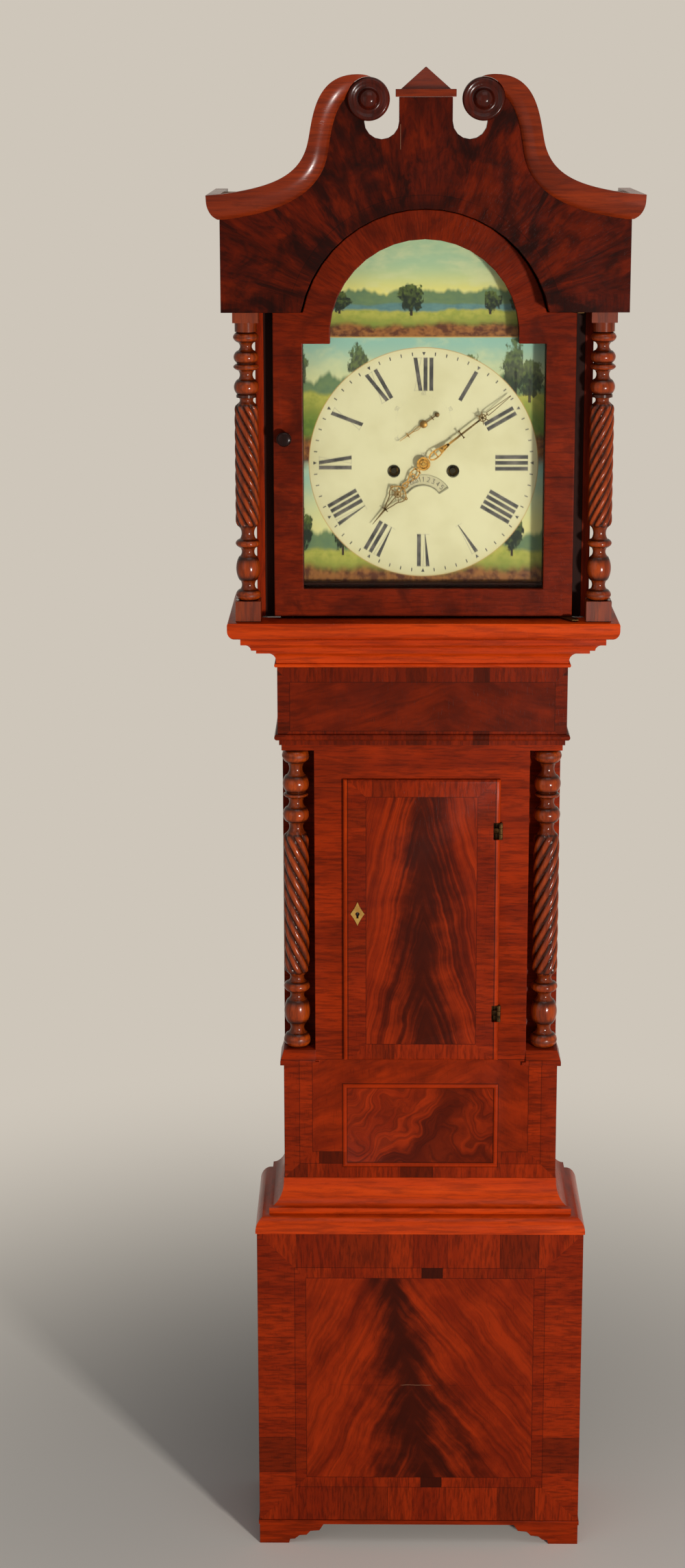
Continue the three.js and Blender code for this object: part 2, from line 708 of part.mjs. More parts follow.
// Radii and levels of a turning; a twisted stretch is marked on its rings.
function turningRings(elements, height, radius) {
  const total = elements.reduce((sum, [, share]) => sum + share, 0);
  const rings = [];
  let z = 0;
  elements.forEach(([form, share, size]) => {
    const tall = height * share / total;
    const r = radius * size;
    if (form === "round") {
      const foot = r * pinchShare + radius * (1 - pinchShare) * footSwellShare;
      const steps = share > smallRoundShare ? 3 : 2;
      for (let i = 0; i <= steps; i++) {
        const bulge = Math.sin(Math.PI * i / steps);
        rings.push({ r: foot + (r - foot) * bulge, z: z + tall * i / steps });
      }
    } else if (form === "cove") {
      rings.push({ r, z: z + tall / 2 });
    } else if (form === "flat") {
      rings.push({ r, z: z + fitGap }, { r, z: z + tall - fitGap });
    } else {
      const steps = Math.round(tall / twistStep);
      for (let i = 0; i <= steps; i++) {
        rings.push({ r, z: z + tall * i / steps, twist: true });
      }
    }
    z += tall;
  });
  return rings.filter((ring, i) => i === 0 || ring.z - rings[i - 1].z > fitGap / 3);
}

function column(elements, height, radius, hand) {
  const rings = turningRings(elements, height, radius);
  const twisted = rings.filter((ring) => ring.twist);
  const lowest = twisted[0].z;
  const highest = twisted[twisted.length - 1].z;
  const section = arc(0, 0, 1, 1, 0, fullTurn * (columnSides - 1) / columnSides, columnSides - 1);
  const skins = rings.map((ring) => {
    const along = Math.min(Math.max(ring.z, lowest), highest) - lowest;
    const turn = hand * fullTurn * along / twistLead;
    return section.map((_, i) => {
      const a = fullTurn * i / columnSides + turn;
      const valley = ring.twist && i % (columnSides / twistStrands) === 0;
      const r = ring.r * (valley ? twistValleyShare : 1);
      return [r * Math.cos(a), r * Math.sin(a), ring.z];
    });
  });
  return loft(skins, section);
}

const columnSeat = 0.5;
for (const side of [-1, 1]) {
  const name = side < 0 ? "trunk_column_left" : "trunk_column_right";
  const shaft = column(trunkTurningShares, trunkColumnHeight - 2 * columnSeat, columnRadius, -side);
  const mesh = node(name, shaft, darkMahogany);
  mesh.position.set(side * (trunkHalf - columnRadius), yTrunk + columnRadius, zColumn + columnSeat);
}

// The seatboard that carries the movement, on the tops of the trunk sides
const movementSetback = 60;
const yMovement = yBase + movementSetback;
const plateThickness = 2.5;
const plateSpace = 62.5;
const lineHoleRadius = 5;
const seatReach = 12;
const seatTail = 3;
const seatFront = yMovement - seatReach;
const seatBack = yMovement + 2 * plateThickness + plateSpace + seatTail;
const lineRadius = 1.2;
const drumRadius = 22;
const drumLine = drumRadius + lineRadius + fitGap;
const lineSetback = 34;
const yLine = yMovement + lineSetback;
const lineX = { going: windingSpread - drumLine, strike: -windingSpread - drumLine };

const seatboard = cut(
  box(-trunkHalf, trunkHalf, seatFront, seatBack, zSeat - seatThickness, zSeat - fitGap),
  ...Object.values(lineX).map((x) =>
    rodUpright(lineHoleRadius, zSeat - 2 * seatThickness, zSeat + overrun, x, yLine, 8)),
);
node("seatboard", seatboard, secondaryWood);

// The hood slides forward off the trunk, and everything it carries goes with it
const hood = new THREE.Group();
clock.add(hood);

const hoodRearGap = 2;
const hoodRear = yBack - hoodRearGap;
const noseProud = 76;
const hoodDoorFront = yBase;
const hoodDoorBack = hoodDoorFront + doorThickness;
const hoodDoorRearGap = 0.5;
const hoodFrameThickness = 17.5;
const hoodFrameFront = hoodDoorBack + hoodDoorRearGap;
const hoodFrameBack = hoodFrameFront + hoodFrameThickness;
const pivotSetback = 20;
const pivotInset = 22.5;
const pivotX = hoodOuterHalf - pivotInset;
const yPivot = hoodDoorFront - pivotSetback;
const pivotRadius = 1.9;
const pivotDepth = 8;

// The nose moulding is the hood's own lowest member
const noseInner = hoodInnerHalf - trunkHalf - fitGap;
const noseLedge = 6;
const noseCrown = 11;
const noseQuirk = 2;
const noseEdge = 3;
const noseSection = [
  [noseInner, zNose + fitGap],
  [crownProud, zNose + fitGap],
  ...arc(crownProud + noseLedge, zHood - noseCrown, noseProud - crownProud - noseLedge,
    noseHeight - noseCrown - noseQuirk, -right, 0, 5),
  [noseProud, zHood - noseEdge],
  [noseProud - noseEdge / 3, zHood],
  [noseInner, zHood],
];
const noseRun = wrapAround(noseSection, trunkHalf, yTrunk, hoodRear);
node("hood_nose_moulding",
  cut(noseRun, rodUpright(pivotRadius + fitGap, zHood - pivotDepth - fitGap, zHood + overrun,
    pivotX, yPivot)),
  mahogany, hood);

const entablatureBoard = 18;
const soffitThickness = 12;
const pedimentThickness = 20;
const yPedimentBack = yPediment + pedimentThickness;
const roofThickness = 9;

function hoodSide(side) {
  const wall = box(hoodInnerHalf, hoodOuterHalf, hoodFrameFront, hoodRear, zHood + fitGap, zRoof);
  const soffit = box(hoodOuterHalf - lap, pedimentHalf, yPedimentBack + fitGap, hoodRear,
    zPediment, zPediment + soffitThickness);
  const frieze = box(pedimentHalf - entablatureBoard, pedimentHalf, yPedimentBack + fitGap, hoodRear,
    zPediment, zRoof);
  const front = box(hoodOuterHalf + fitGap, pedimentHalf, yPedimentBack + fitGap, hoodFrameFront + lap,
    zPediment, zRoof);
  const body = join(wall, soffit, frieze, front);
  return side < 0 ? body.scale(-1, 1, 1) : body;
}

node("hood_side_left", hoodSide(-1), mahogany, hood);
node("hood_side_right", hoodSide(1), mahogany, hood);
node("hood_roof", box(-pedimentHalf, pedimentHalf, yPedimentBack + fitGap, hoodRear,
  zRoof + fitGap, zRoof + roofThickness), secondaryWood, hood);

// A break-arch outline: straight sides, level shoulders and a round head
function breakArch(halfWidth, zFoot, zShoulder, radius) {
  const lift = zShoulder - zArch;
  const start = Math.asin(lift / radius);
  const head = arc(0, zArch, radius, radius, start, Math.PI - start, roundSteps * 2);
  return [[-halfWidth, zFoot], [halfWidth, zFoot], [halfWidth, zShoulder], ...head, [-halfWidth, zShoulder]];
}

function asPath(points) {
  return new THREE.Path(points.map(([u, v]) => new THREE.Vector2(u, v)));
}

// The front frame of the hood masks the edge of the dial
const maskLap = 2.2;
const maskFootLap = 2;
const maskShoulderLap = 1.6;
const maskHalf = dialHalf - maskLap;
const maskFoot = zDial - dialHalf + maskFootLap;
const maskShoulder = zDial + dialHalf - maskShoulderLap;
const maskArch = dialArch - maskLap;
const hoodFrame = outline([
  [-hoodInnerHalf + fitGap, zHood + fitGap], [hoodInnerHalf - fitGap, zHood + fitGap],
  [hoodInnerHalf - fitGap, zRoof], [-hoodInnerHalf + fitGap, zRoof],
]);
hoodFrame.holes.push(asPath(breakArch(maskHalf, maskFoot, maskShoulder, maskArch)));
node("hood_front_frame",
  frontPlate(hoodFrame, hoodFrameFront, hoodFrameBack - hoodFrameFront), darkMahogany, hood);

// Swan neck: upper and lower edges of the scroll as two cubic curves each, in
// shares of the pediment's half width and of the neck's rise.
const upperEdgeShares = [
  [[0.979, 0.183], [0.739, 0.231], [0.605, 0.307], [0.569, 0.533]],
  [[0.569, 0.533], [0.545, 0.688], [0.54, 1], [0.33, 1]],
];
const lowerEdgeShares = [
  [[0.979, 0], [0.704, 0.05], [0.502, 0.171], [0.471, 0.47]],
  [[0.471, 0.47], [0.454, 0.638], [0.433, 0.859], [0.316, 0.889]],
];
const scrollProudShare = 0.62;
const ovoloShares = [[0, 0], [0.03, 0.2], [0.22, 0.62], [0.56, 0.92], [1, 1]];
const neckSteps = 7;

function edgeCurve(shares) {
  const path = new THREE.CurvePath();
  for (const four of shares) {
    const points = four.map(([u, v]) => new THREE.Vector2(u * pedimentHalf, zCornice + v * neckRise));
    path.add(new THREE.CubicBezierCurve(...points));
  }
  return path;
}

function edgePoints(shares) {
  return edgeCurve(shares).curves.flatMap((curve, i) => curve.getPoints(neckSteps).slice(i));
}

const upperEdge = edgePoints(upperEdgeShares);
const lowerEdge = edgePoints(lowerEdgeShares);
const rosetteX = 80.5;
const rosetteSides = 16;
const rosetteDrop = 33.5;
const zRosette = zNeckTop - rosetteDrop;

function swanNeck(side) {
  const face = yPediment - fitGap;
  const section = [...ovoloShares, [1, 0]];
  const flank = pedimentHalf + fitGap;
  const end = (y) => section.map(([t, p]) => [flank + p * corniceProud, y(p), zCornice + t * corniceHeight]);
  const rings = [end(() => hoodRear), end((p) => face - p * corniceProud)];
  upperEdge.forEach((top, i) => {
    const foot = lowerEdge[i];
    const along = i / (upperEdge.length - 1);
    const proud = corniceProud * (1 - along * (1 - scrollProudShare));
    rings.push(section.map(([t, p]) => [
      foot.x + (top.x - foot.x) * t, face - p * proud, foot.y + (top.y - foot.y) * t]));
  });
  const neck = loft(rings, section);
  const eye = rodAlongY(rosetteRadius + fitGap, yPediment - neckRise, yPediment + overrun,
    rosetteX, zRosette, 2 * rosetteSides);
  const trimmed = cut(neck, eye);
  return side < 0 ? trimmed.scale(-1, 1, 1) : trimmed;
}

node("swan_neck_left", swanNeck(-1), mahogany, hood);
node("swan_neck_right", swanNeck(1), mahogany, hood);

// Pediment front: arch below, scrolls above, a plinth between two scallops
const plinthHalf = 37.5;
const plinthDrop = 31;
const zPlinth = zNeckTop - plinthDrop;
const plinthDepth = 34;
const plinthBlock = 45;
const scallopRadius = 24.5;
const scallopDrop = 33;
const zScallop = zPlinth - scallopDrop;
const earInset = 3;
const earRadius = rosetteRadius - earInset;
const earStartShare = 0.7;
const earEndShare = 3.1;
const neckCoverShare = 0.6;
const soffitLining = 6;

function pedimentOutline() {
  const archStart = Math.asin((zPediment - zArch) / archRadius);
  const archEdge = arc(0, zArch, archRadius, archRadius, Math.PI - archStart, archStart, 2 * roundSteps);
  const behindNeck = upperEdge.map((top, i) => {
    const foot = lowerEdge[i];
    return [foot.x + (top.x - foot.x) * neckCoverShare, foot.y + (top.y - foot.y) * neckCoverShare];
  });
  const scallopX = plinthHalf + scallopRadius;
  const half = [
    [pedimentHalf, zPediment], [pedimentHalf, zCornice + corniceHeight - roofThickness],
    ...behindNeck.slice(0, -1),
    ...arc(rosetteX, zRosette, earRadius, earRadius, right * earStartShare, right * earEndShare, 8),
    ...arc(scallopX, zScallop, scallopRadius, scallopRadius, 0, -2 * right, 8),
    [plinthHalf, zPlinth],
  ];
  const mirrored = half.map(([u, v]) => [-u, v]).reverse();
  return [...half, ...mirrored, ...archEdge];
}

function archLining() {
  const start = Math.asin((zPediment - zArch) / archRadius);
  const outer = archRadius + soffitLining;
  const band = [
    ...arc(0, zArch, archRadius, archRadius, start, Math.PI - start, 2 * roundSteps),
    ...arc(0, zArch, outer, outer, Math.PI - start, start, 2 * roundSteps),
  ];
  return frontPlate(outline(band), yPedimentBack - lap, hoodDoorBack - yPedimentBack + lap);
}

function pedimentSoffit(side) {
  const inner = Math.sqrt(archRadius ** 2 - (zPediment - zArch) ** 2);
  const board = box(inner, hoodOuterHalf - lap - fitGap, yPedimentBack - lap, hoodDoorBack,
    zPediment, zPediment + soffitThickness - lap);
  return side < 0 ? board.scale(-1, 1, 1) : board;
}

function pediment() {
  const board = frontPlate(outline(pedimentOutline()), yPediment, pedimentThickness);
  const block = box(-plinthHalf, plinthHalf, yPediment, yPediment + plinthDepth,
    zPlinth - plinthBlock, zPlinth);
  const body = join(board, block, archLining(), pedimentSoffit(-1), pedimentSoffit(1));
  return cut(body, rodUpright(pivotRadius + fitGap, zPediment - overrun, zPediment + pivotDepth + fitGap,
    pivotX, yPivot));
}

node("pediment", pediment(), mahogany, hood);

// Turned rosettes on the scrolls: a raised rim, a hollow and a centre boss
const rosetteShares = [
  [1, 0], [1, 0.3], [0.88, 0.55], [0.62, 0.4], [0.46, 0.5], [0.36, 0.85], [0, 1],
];
for (const side of [-1, 1]) {
  const name = side < 0 ? "rosette_left" : "rosette_right";
  const points = rosetteShares.map(([r, h]) => [r * rosetteRadius, -h * rosetteThickness]);
  const mesh = node(name, turnedAlongY([[0, 0], ...points], rosetteSides), darkMahogany, hood);
  mesh.position.set(side * rosetteX, yPediment - fitGap, zRosette);
}

// The cap of the plinth is a slab under a low pyramid
const capOverhang = 5;
const capSlab = 10.5;
const pyramidInset = 7.5;
const pyramidTip = 0.6;

function finialCap() {
  const half = plinthHalf + capOverhang;
  const foot = zPlinth + fitGap;
  const y0 = yPediment - capOverhang;
  const y1 = yPediment + plinthDepth + capOverhang;
  const mid = (y0 + y1) / 2;
  const level = (z, inset) => [
    [-half + inset, y0 + inset, z], [half - inset, y0 + inset, z],
    [half - inset, y1 - inset, z], [-half + inset, y1 - inset, z],
  ];
  const tip = pyramidTip;
  const apex = [[-tip, mid - tip], [tip, mid - tip], [tip, mid + tip], [-tip, mid + tip]]
    .map(([x, y]) => [x, y, zPlinth + finialHeight]);
  const rings = [level(foot, 0), level(foot + capSlab, 0), level(foot + capSlab, pyramidInset), apex];
  return loft(rings, level(0, 0).map(([x, y]) => [x, y]));
}

node("finial_cap", finialCap(), mahogany, hood);

// Hood columns, with a square block above and below the turning
const blockHalf = 18.5;
const lowerBlock = 30;
const upperBlock = 15;
const hoodColumnOffset = 12;
const hoodColumnX = hoodOuterHalf + hoodColumnOffset;
const hoodColumnSetout = 6;
const yHoodColumn = yBase - hoodColumnSetout;

for (const side of [-1, 1]) {
  const name = side < 0 ? "hood_column_left" : "hood_column_right";
  const shaftHeight = hoodColumnHeight - lowerBlock - upperBlock;
  const turning = column(hoodTurningShares, shaftHeight + 2 * fitGap, blockHalf, -side);
  const shaft = turning.translate(0, 0, lowerBlock - fitGap);
  const foot = box(-blockHalf, blockHalf, -blockHalf, blockHalf, 0, lowerBlock);
  const head = box(-blockHalf, blockHalf, -blockHalf, blockHalf,
    hoodColumnHeight - upperBlock, hoodColumnHeight);
  const mesh = node(name, join(shaft, foot, head), darkMahogany, hood);
  mesh.position.set(side * hoodColumnX, yHoodColumn, zHood + hoodColumnSeat);
}

// The glazed hood door, hung on strap pivots that stand in front of it
const hoodDoor = new THREE.Group();
hood.add(hoodDoor);

const hoodDoorInset = 26;
const hoodDoorHalf = hoodOuterHalf - hoodDoorInset;
const hoodDoorFootGap = 4.4;
const hoodDoorGap = 2.5;
const hoodStile = 43;
const hoodLowerRail = 40.6;
const hoodUpperRail = 45;
const hoodArchRail = 42;
const hoodDoorFoot = zHood + hoodDoorFootGap;
const hoodDoorShoulder = zPediment - hoodDoorGap;
const hoodDoorArch = archRadius - hoodDoorGap;
const glassHalf = hoodDoorHalf - hoodStile;
const glassFoot = hoodDoorFoot + hoodLowerRail;
const glassShoulder = hoodDoorShoulder - hoodUpperRail;
const glassArch = hoodDoorArch - hoodArchRail;
const rebateWidth = 6;
const glassThickness = 3;
const glassSetback = 10;
const strapThickness = 1.6;
const knobSpindle = 3.5;
const knobInset = 16;
const knobX = knobInset - hoodDoorHalf;
const knobRise = 41;
const zKnob = zDial + knobRise;
const spindleDepth = 8;

function hoodDoorFrame() {
  const shape = outline(breakArch(hoodDoorHalf, hoodDoorFoot, hoodDoorShoulder, hoodDoorArch));
  shape.holes.push(asPath(breakArch(glassHalf, glassFoot, glassShoulder, glassArch)));
  const frame = frontPlate(shape, hoodDoorFront, doorThickness);
  const rebate = outline(breakArch(glassHalf + rebateWidth, glassFoot - rebateWidth,
    glassShoulder + rebateWidth, glassArch + rebateWidth));
  const spindle = rodAlongY(knobSpindle + fitGap, hoodDoorFront - overrun, hoodDoorFront + glassSetback,
    knobX, zKnob, 10);
  return cut(frame, frontPlate(rebate, hoodDoorFront + glassSetback, doorThickness), spindle);
}

node("hood_door_frame", hoodDoorFrame(), mahogany, hoodDoor);
const pane = outline(breakArch(glassHalf + rebateWidth - fitGap, glassFoot - rebateWidth + fitGap,
  glassShoulder + rebateWidth - fitGap, glassArch + rebateWidth - fitGap));
node("hood_door_glass", frontPlate(pane, hoodDoorFront + glassSetback + fitGap, glassThickness),
  glass, hoodDoor);

// A strap lies on the door's end and reaches forward to its pivot pin
const strapArm = 5;
const strapReach = 17.5;
const strapFrontInset = 2;
const strapRearInset = 4;

function strap(z0, z1, pinFoot, pinTop) {
  const outer = hoodDoorHalf - lap;
  const inner = hoodDoorHalf - strapReach;
  const front = hoodDoorFront + strapFrontInset;
  const rear = hoodDoorBack - strapRearInset;
  const plan = outline([
    [pivotX - strapArm, yPivot - strapArm], [pivotX + strapArm, yPivot - strapArm],
    [pivotX + strapArm, yPivot + strapArm], [outer, front], [outer, rear], [inner, rear], [inner, front],
  ]);
  return join(planPlate(plan, z0, z1), rodUpright(pivotRadius, pinFoot, pinTop, pivotX, yPivot, 8));
}

node("hood_door_lower_strap", strap(hoodDoorFoot - strapThickness - fitGap, hoodDoorFoot - fitGap,
  zHood - pivotDepth, hoodDoorFoot - fitGap - strapThickness / 2), brass, hoodDoor);
node("hood_door_upper_strap", strap(hoodDoorShoulder + fitGap, hoodDoorShoulder + strapThickness + fitGap,
  hoodDoorShoulder + fitGap + strapThickness / 2, zPediment + pivotDepth), brass, hoodDoor);

// A small turned pull knob
const knobShares = [
  [0.45, 0], [0.42, 0.2], [0.55, 0.42], [0.92, 0.55], [1, 0.75], [0.8, 0.95], [0.35, 1], [0, 1],
];
const knobRadius = 11;
const knobLength = 17;
const knob = node("hood_door_knob", turnedAlongY([
  [0, spindleDepth], [knobSpindle, spindleDepth], [knobSpindle, -fitGap],
  ...knobShares.map(([r, h]) => [r * knobRadius, -fitGap - h * knobLength]),
]), darkMahogany, hoodDoor);
knob.position.set(knobX, hoodDoorFront, zKnob);

// The movement stands on the seatboard and carries the dial
const movement = new THREE.Group();
clock.add(movement);

const yDial = hoodFrameBack + fitGap;
const yDialBack = yDial + dialThickness;
const yFrontPlate = yMovement;
const yPlateSpace = yFrontPlate + plateThickness;
const yBackPlate = yPlateSpace + plateSpace;
const yPlatesEnd = yBackPlate + plateThickness;
const plateHalf = 88;
const plateHeight = 170;
const pillarRadius = 4.5;
const pivotClear = 0.3;
const centreArbor = 2.5;
const thinArbor = 1.5;
const windingArbor = 4.5;
const zWinding = zDial - windingDrop;
const zSeconds = zDial + secondsRise;
const hourPipe = 4.5;

// Tooth counts of the going train; the centre pinion turns once an hour
const greatTeeth = 96;
const centrePinion = 8;
const centreTeeth = 60;
const thirdPinion = 8;
const thirdTeeth = 56;
const escapePinion = 7;
const escapeTeeth = 30;
const strikeTeeth = 84;

// Pitch radii, from the distances between the arbors
const greatDistance = Math.hypot(windingSpread, windingDrop);
const greatPitch = greatDistance * greatTeeth / (greatTeeth + centrePinion);
const centrePitch = 29;
const thirdPitch = 26;
const centreToThird = centrePitch * (1 + thirdPinion / centreTeeth);
const thirdToEscape = thirdPitch * (1 + escapePinion / thirdTeeth);
const thirdRise = (centreToThird ** 2 - thirdToEscape ** 2 + secondsRise ** 2) / (2 * secondsRise);
const thirdX = Math.sqrt(centreToThird ** 2 - thirdRise ** 2);
const zThird = zDial + thirdRise;
const escapeRadius = 20;
const anchorRise = 28;
const zAnchor = zSeconds + anchorRise;

// Depth of each wheel behind the front plate
const wheelThickness = 2;
const strikeWheelDepth = 1.2;
const greatDepth = 6;
const drumDepth = 10;
const drumLength = 44;
const thirdDepth = 27;
const escapeDepth = 48;
const centreDepth = 58;
const pinionLength = 7;

const toothAddendumShare = 0.7;
const toothDedendumShare = 1.3;
const leafAddendumShare = 0.6;
const leafDedendumShare = 1.6;
const leafRootShare = 0.16;

// A wheel with pointed teeth, its first tooth at angle zero plus phase
function wheelOutline(teeth, pitch, phase) {
  const size = 2 * pitch / teeth;
  const points = [];
  for (let i = 0; i < teeth; i++) {
    const a = fullTurn * i / teeth + phase;
    const b = a + fullTurn / teeth / 2;
    const tip = pitch + toothAddendumShare * size;
    const root = pitch - toothDedendumShare * size;
    points.push([tip * Math.cos(a), tip * Math.sin(a)], [root * Math.cos(b), root * Math.sin(b)]);
  }
  return points;
}

// A pinion of narrow leaves, its first leaf at angle zero plus phase
function pinionOutline(leaves, pitch, phase) {
  const size = 2 * pitch / leaves;
  const tip = pitch + leafAddendumShare * size;
  const root = pitch - leafDedendumShare * size;
  const points = [];
  for (let i = 0; i < leaves; i++) {
    const a = fullTurn * i / leaves + phase;
    for (const [r, share] of [[root, -leafRootShare], [tip, 0], [root, leafRootShare]]) {
      const b = a + share * fullTurn / leaves;
      points.push([r * Math.cos(b), r * Math.sin(b)]);
    }
  }
  return points;
}

function roundHole(radius, x = 0, z = 0, sides = 10) {
  return asPath(arc(x, z, radius, radius, 0, -fullTurn * (sides - 1) / sides, sides - 1));
}

// A flat wheel in the XZ plane with a round bore, standing back from y0
function wheel(points, y0, thickness, bore = 0) {
  const shape = outline(points);
  if (bore > 0) shape.holes.push(roundHole(bore));
  return frontPlate(shape, y0, thickness);
}

// Spoked wheels have this many gaps between an inner and an outer rim
const spokes = 4;
const spokeShare = 0.16;

function spokedWheel(points, rim, hub, y0) {
  const shape = outline(points);
  for (let i = 0; i < spokes; i++) {
    const a0 = fullTurn * (i + spokeShare) / spokes;
    const a1 = fullTurn * (i + 1 - spokeShare) / spokes;
    shape.holes.push(asPath([...arc(0, 0, rim, rim, a1, a0, 3), ...arc(0, 0, hub, hub, a0, a1, 1)]));
  }
  return frontPlate(shape, y0, wheelThickness);
}

// Dial, with holes for the hands, the winding squares and the calendar
const calendarDrop = 62;
const calendarOuter = 44;
const calendarInner = 30;
const calendarSweepShare = 0.6;
const calendarSweep = calendarSweepShare * right;
const calendarDiscRadius = 48;
const zCalendar = zDial - calendarDrop;
const dialFoot = zDial - dialHalf;
const dialShoulder = zDial + dialHalf;
const centreHole = 5.5;
const windingHole = 9.5;
const secondsHole = 2.5;
const studRadius = 2;
const studLength = 4;
const dialFootRadius = 3;
const dialFootInset = 16;
const pillarInset = 8;

function dialPlate() {
  const shape = outline(breakArch(dialHalf, dialFoot, dialShoulder, dialArch));
  shape.holes.push(
    roundHole(centreHole, 0, zDial), roundHole(secondsHole, 0, zSeconds),
    ...[-windingSpread, windingSpread].map((x) => roundHole(windingHole, x, zWinding, 14)));
  shape.holes.push(asPath([
    ...arc(0, zCalendar, calendarOuter, calendarOuter, right + calendarSweep, right - calendarSweep, 6),
    ...arc(0, zCalendar, calendarInner, calendarInner, right - calendarSweep, right + calendarSweep, 6),
  ]));
  const plate = frontPlate(shape, yDial, dialThickness);
  const middle = yDial + dialThickness / 2;
  const stud = rodAlongY(studRadius, middle, yDialBack + studLength, 0, zCalendar, 8);
  const feet = [-1, 1].flatMap((sx) => [-1, 1].map((sz) => rodAlongY(dialFootRadius,
    middle, yFrontPlate - fitGap, sx * (plateHalf - pillarInset),
    zSeat + plateHeight / 2 + sz * (plateHeight / 2 - dialFootInset), 6)));
  return join(plate, stud, ...feet);
}

node("dial", dialPlate(), dialPaint, movement);

const calendarGap = 0.8;
const calendarThickness = 1;
const calendarSteps = 24;
const calendarDisc = outline(arc(0, 0, calendarDiscRadius, calendarDiscRadius,
  0, fullTurn * (calendarSteps - 1) / calendarSteps, calendarSteps - 1));
calendarDisc.holes.push(roundHole(studRadius + pivotClear, 0, 0, 8));
const calendar = node("calendar_disc", frontPlate(calendarDisc, yDialBack + calendarGap, calendarThickness),
  dialPaint, movement);
calendar.position.z = zCalendar;

// The plates; the back plate carries the pillars, the back cock and the bell stand
const arborHoles = [
  [0, zDial, centreArbor], [thirdX, zThird, thinArbor], [0, zSeconds, thinArbor],
  [-windingSpread, zWinding, windingArbor], [windingSpread, zWinding, windingArbor], [0, zAnchor, thinArbor],
];

function boredPlate(y0) {
  const top = zSeat + plateHeight;
  const shape = outline([[-plateHalf, zSeat], [plateHalf, zSeat], [plateHalf, top], [-plateHalf, top]]);
  for (const [x, z, r] of arborHoles) {
    shape.holes.push(roundHole(r + pivotClear, x, z, r > windingArbor / 2 ? 10 : 8));
  }
  return frontPlate(shape, y0, plateThickness);
}

const pillarPlaces = [-1, 1].flatMap((sx) => [0, 1].map((top) => [
  sx * (plateHalf - pillarInset), zSeat + pillarInset + top * (plateHeight - 2 * pillarInset)]));
node("movement_front_plate", boredPlate(yFrontPlate), brass, movement);

const cockReach = 15;
const cockHalf = 12;
const cockThickness = 4;
const pendulumSetback = 12;
const yPendulum = yPlatesEnd + pendulumSetback;
const springThickness = 0.6;
const springHalf = 4;
const swingClear = 1.2;
const bellStandRadius = 3;
const bellRise = 58;
const bellNut = 4;
const zPlateTop = zSeat + plateHeight;
const zCock = zPlateTop + cockThickness;
const zBell = zPlateTop + bellRise;
const yBell = yLine;

function backPlate() {
  const pillars = pillarPlaces.map(([x, z]) =>
    rodAlongY(pillarRadius, yPlateSpace + fitGap, yBackPlate + lap, x, z, 8));
  const riser = box(-cockHalf, cockHalf, yBackPlate, yPlatesEnd, zPlateTop - lap, zCock);
  const arm = box(-cockHalf, cockHalf, yBackPlate, yPlatesEnd + cockReach, zPlateTop, zCock);
  const slot = box(-springHalf - swingClear, springHalf + swingClear, yPendulum - springThickness / 2 - fitGap,
    yPlatesEnd + cockReach + overrun, zPlateTop - overrun, zCock + overrun);
  const stand = box(-bellStandRadius, bellStandRadius, yBell - bellStandRadius, yPlatesEnd,
    zCock - lap, zCock + cockThickness);
  const post = rodUpright(bellStandRadius, zCock + cockThickness - lap, zBell + bellNut, 0, yBell, 8);
  return cut(join(boredPlate(yBackPlate), ...pillars, riser, arm, stand, post), slot);
}

node("movement_back_plate", backPlate(), brass, movement);

// The bell is a cup, mouth down, on the stand
const bellRadius = 45;
const bellHeight = 36;
const bellWall = 2.5;
const bellSteps = 3;
const boreBell = bellStandRadius + fitGap;
const bellOuter = arc(0, 0, bellRadius, bellHeight, 0, right, bellSteps)
  .map(([r, h]) => [Math.max(r, boreBell), h]);
const bellInside = arc(0, 0, bellRadius - bellWall, bellHeight - bellWall, 0, right, bellSteps)
  .map(([r, h]) => [Math.max(r, boreBell), h]).reverse();
const bell = node("bell", turned([...bellOuter, ...bellInside, bellOuter[0]], 16), brass, movement);
bell.position.set(0, yBell, zBell - bellHeight);

// Gear phases: each wheel has a tooth, and the pinion it drives a space, on the
// line between their arbors.
const facing = (x, z) => Math.atan2(z, x);
const greatToCentre = facing(-windingSpread, windingDrop);
const centreToThirdAngle = facing(thirdX, thirdRise);
const thirdToEscapeAngle = facing(-thirdX, zSeconds - zThird);
const spacePhase = (angle, leaves) => angle + Math.PI + Math.PI / leaves;

const greatWheel = node("going_great_wheel",
  wheel(wheelOutline(greatTeeth, greatPitch, greatToCentre), yFrontPlate + greatDepth, wheelThickness,
    windingArbor + pivotClear), brass, movement);
greatWheel.position.set(windingSpread, 0, zWinding);

const rimTeeth = 6;
const hubShare = 0.25;

// A spoked wheel and a pinion on one arbor; each gear has its count of teeth,
// its pitch radius, its phase and its depth behind the front plate.
function train(gear, pinion, radius, arborEnds) {
  const rim = gear.pitch * (1 - rimTeeth / gear.teeth);
  const body = spokedWheel(wheelOutline(gear.teeth, gear.pitch, gear.phase), rim,
    gear.pitch * hubShare, yFrontPlate + gear.depth);
  const leaves = wheel(pinionOutline(pinion.teeth, pinion.pitch, pinion.phase),
    yFrontPlate + pinion.depth, pinionLength);
  return join(body, leaves, rodAlongY(radius, ...arborEnds, 0, 0, 8));
}

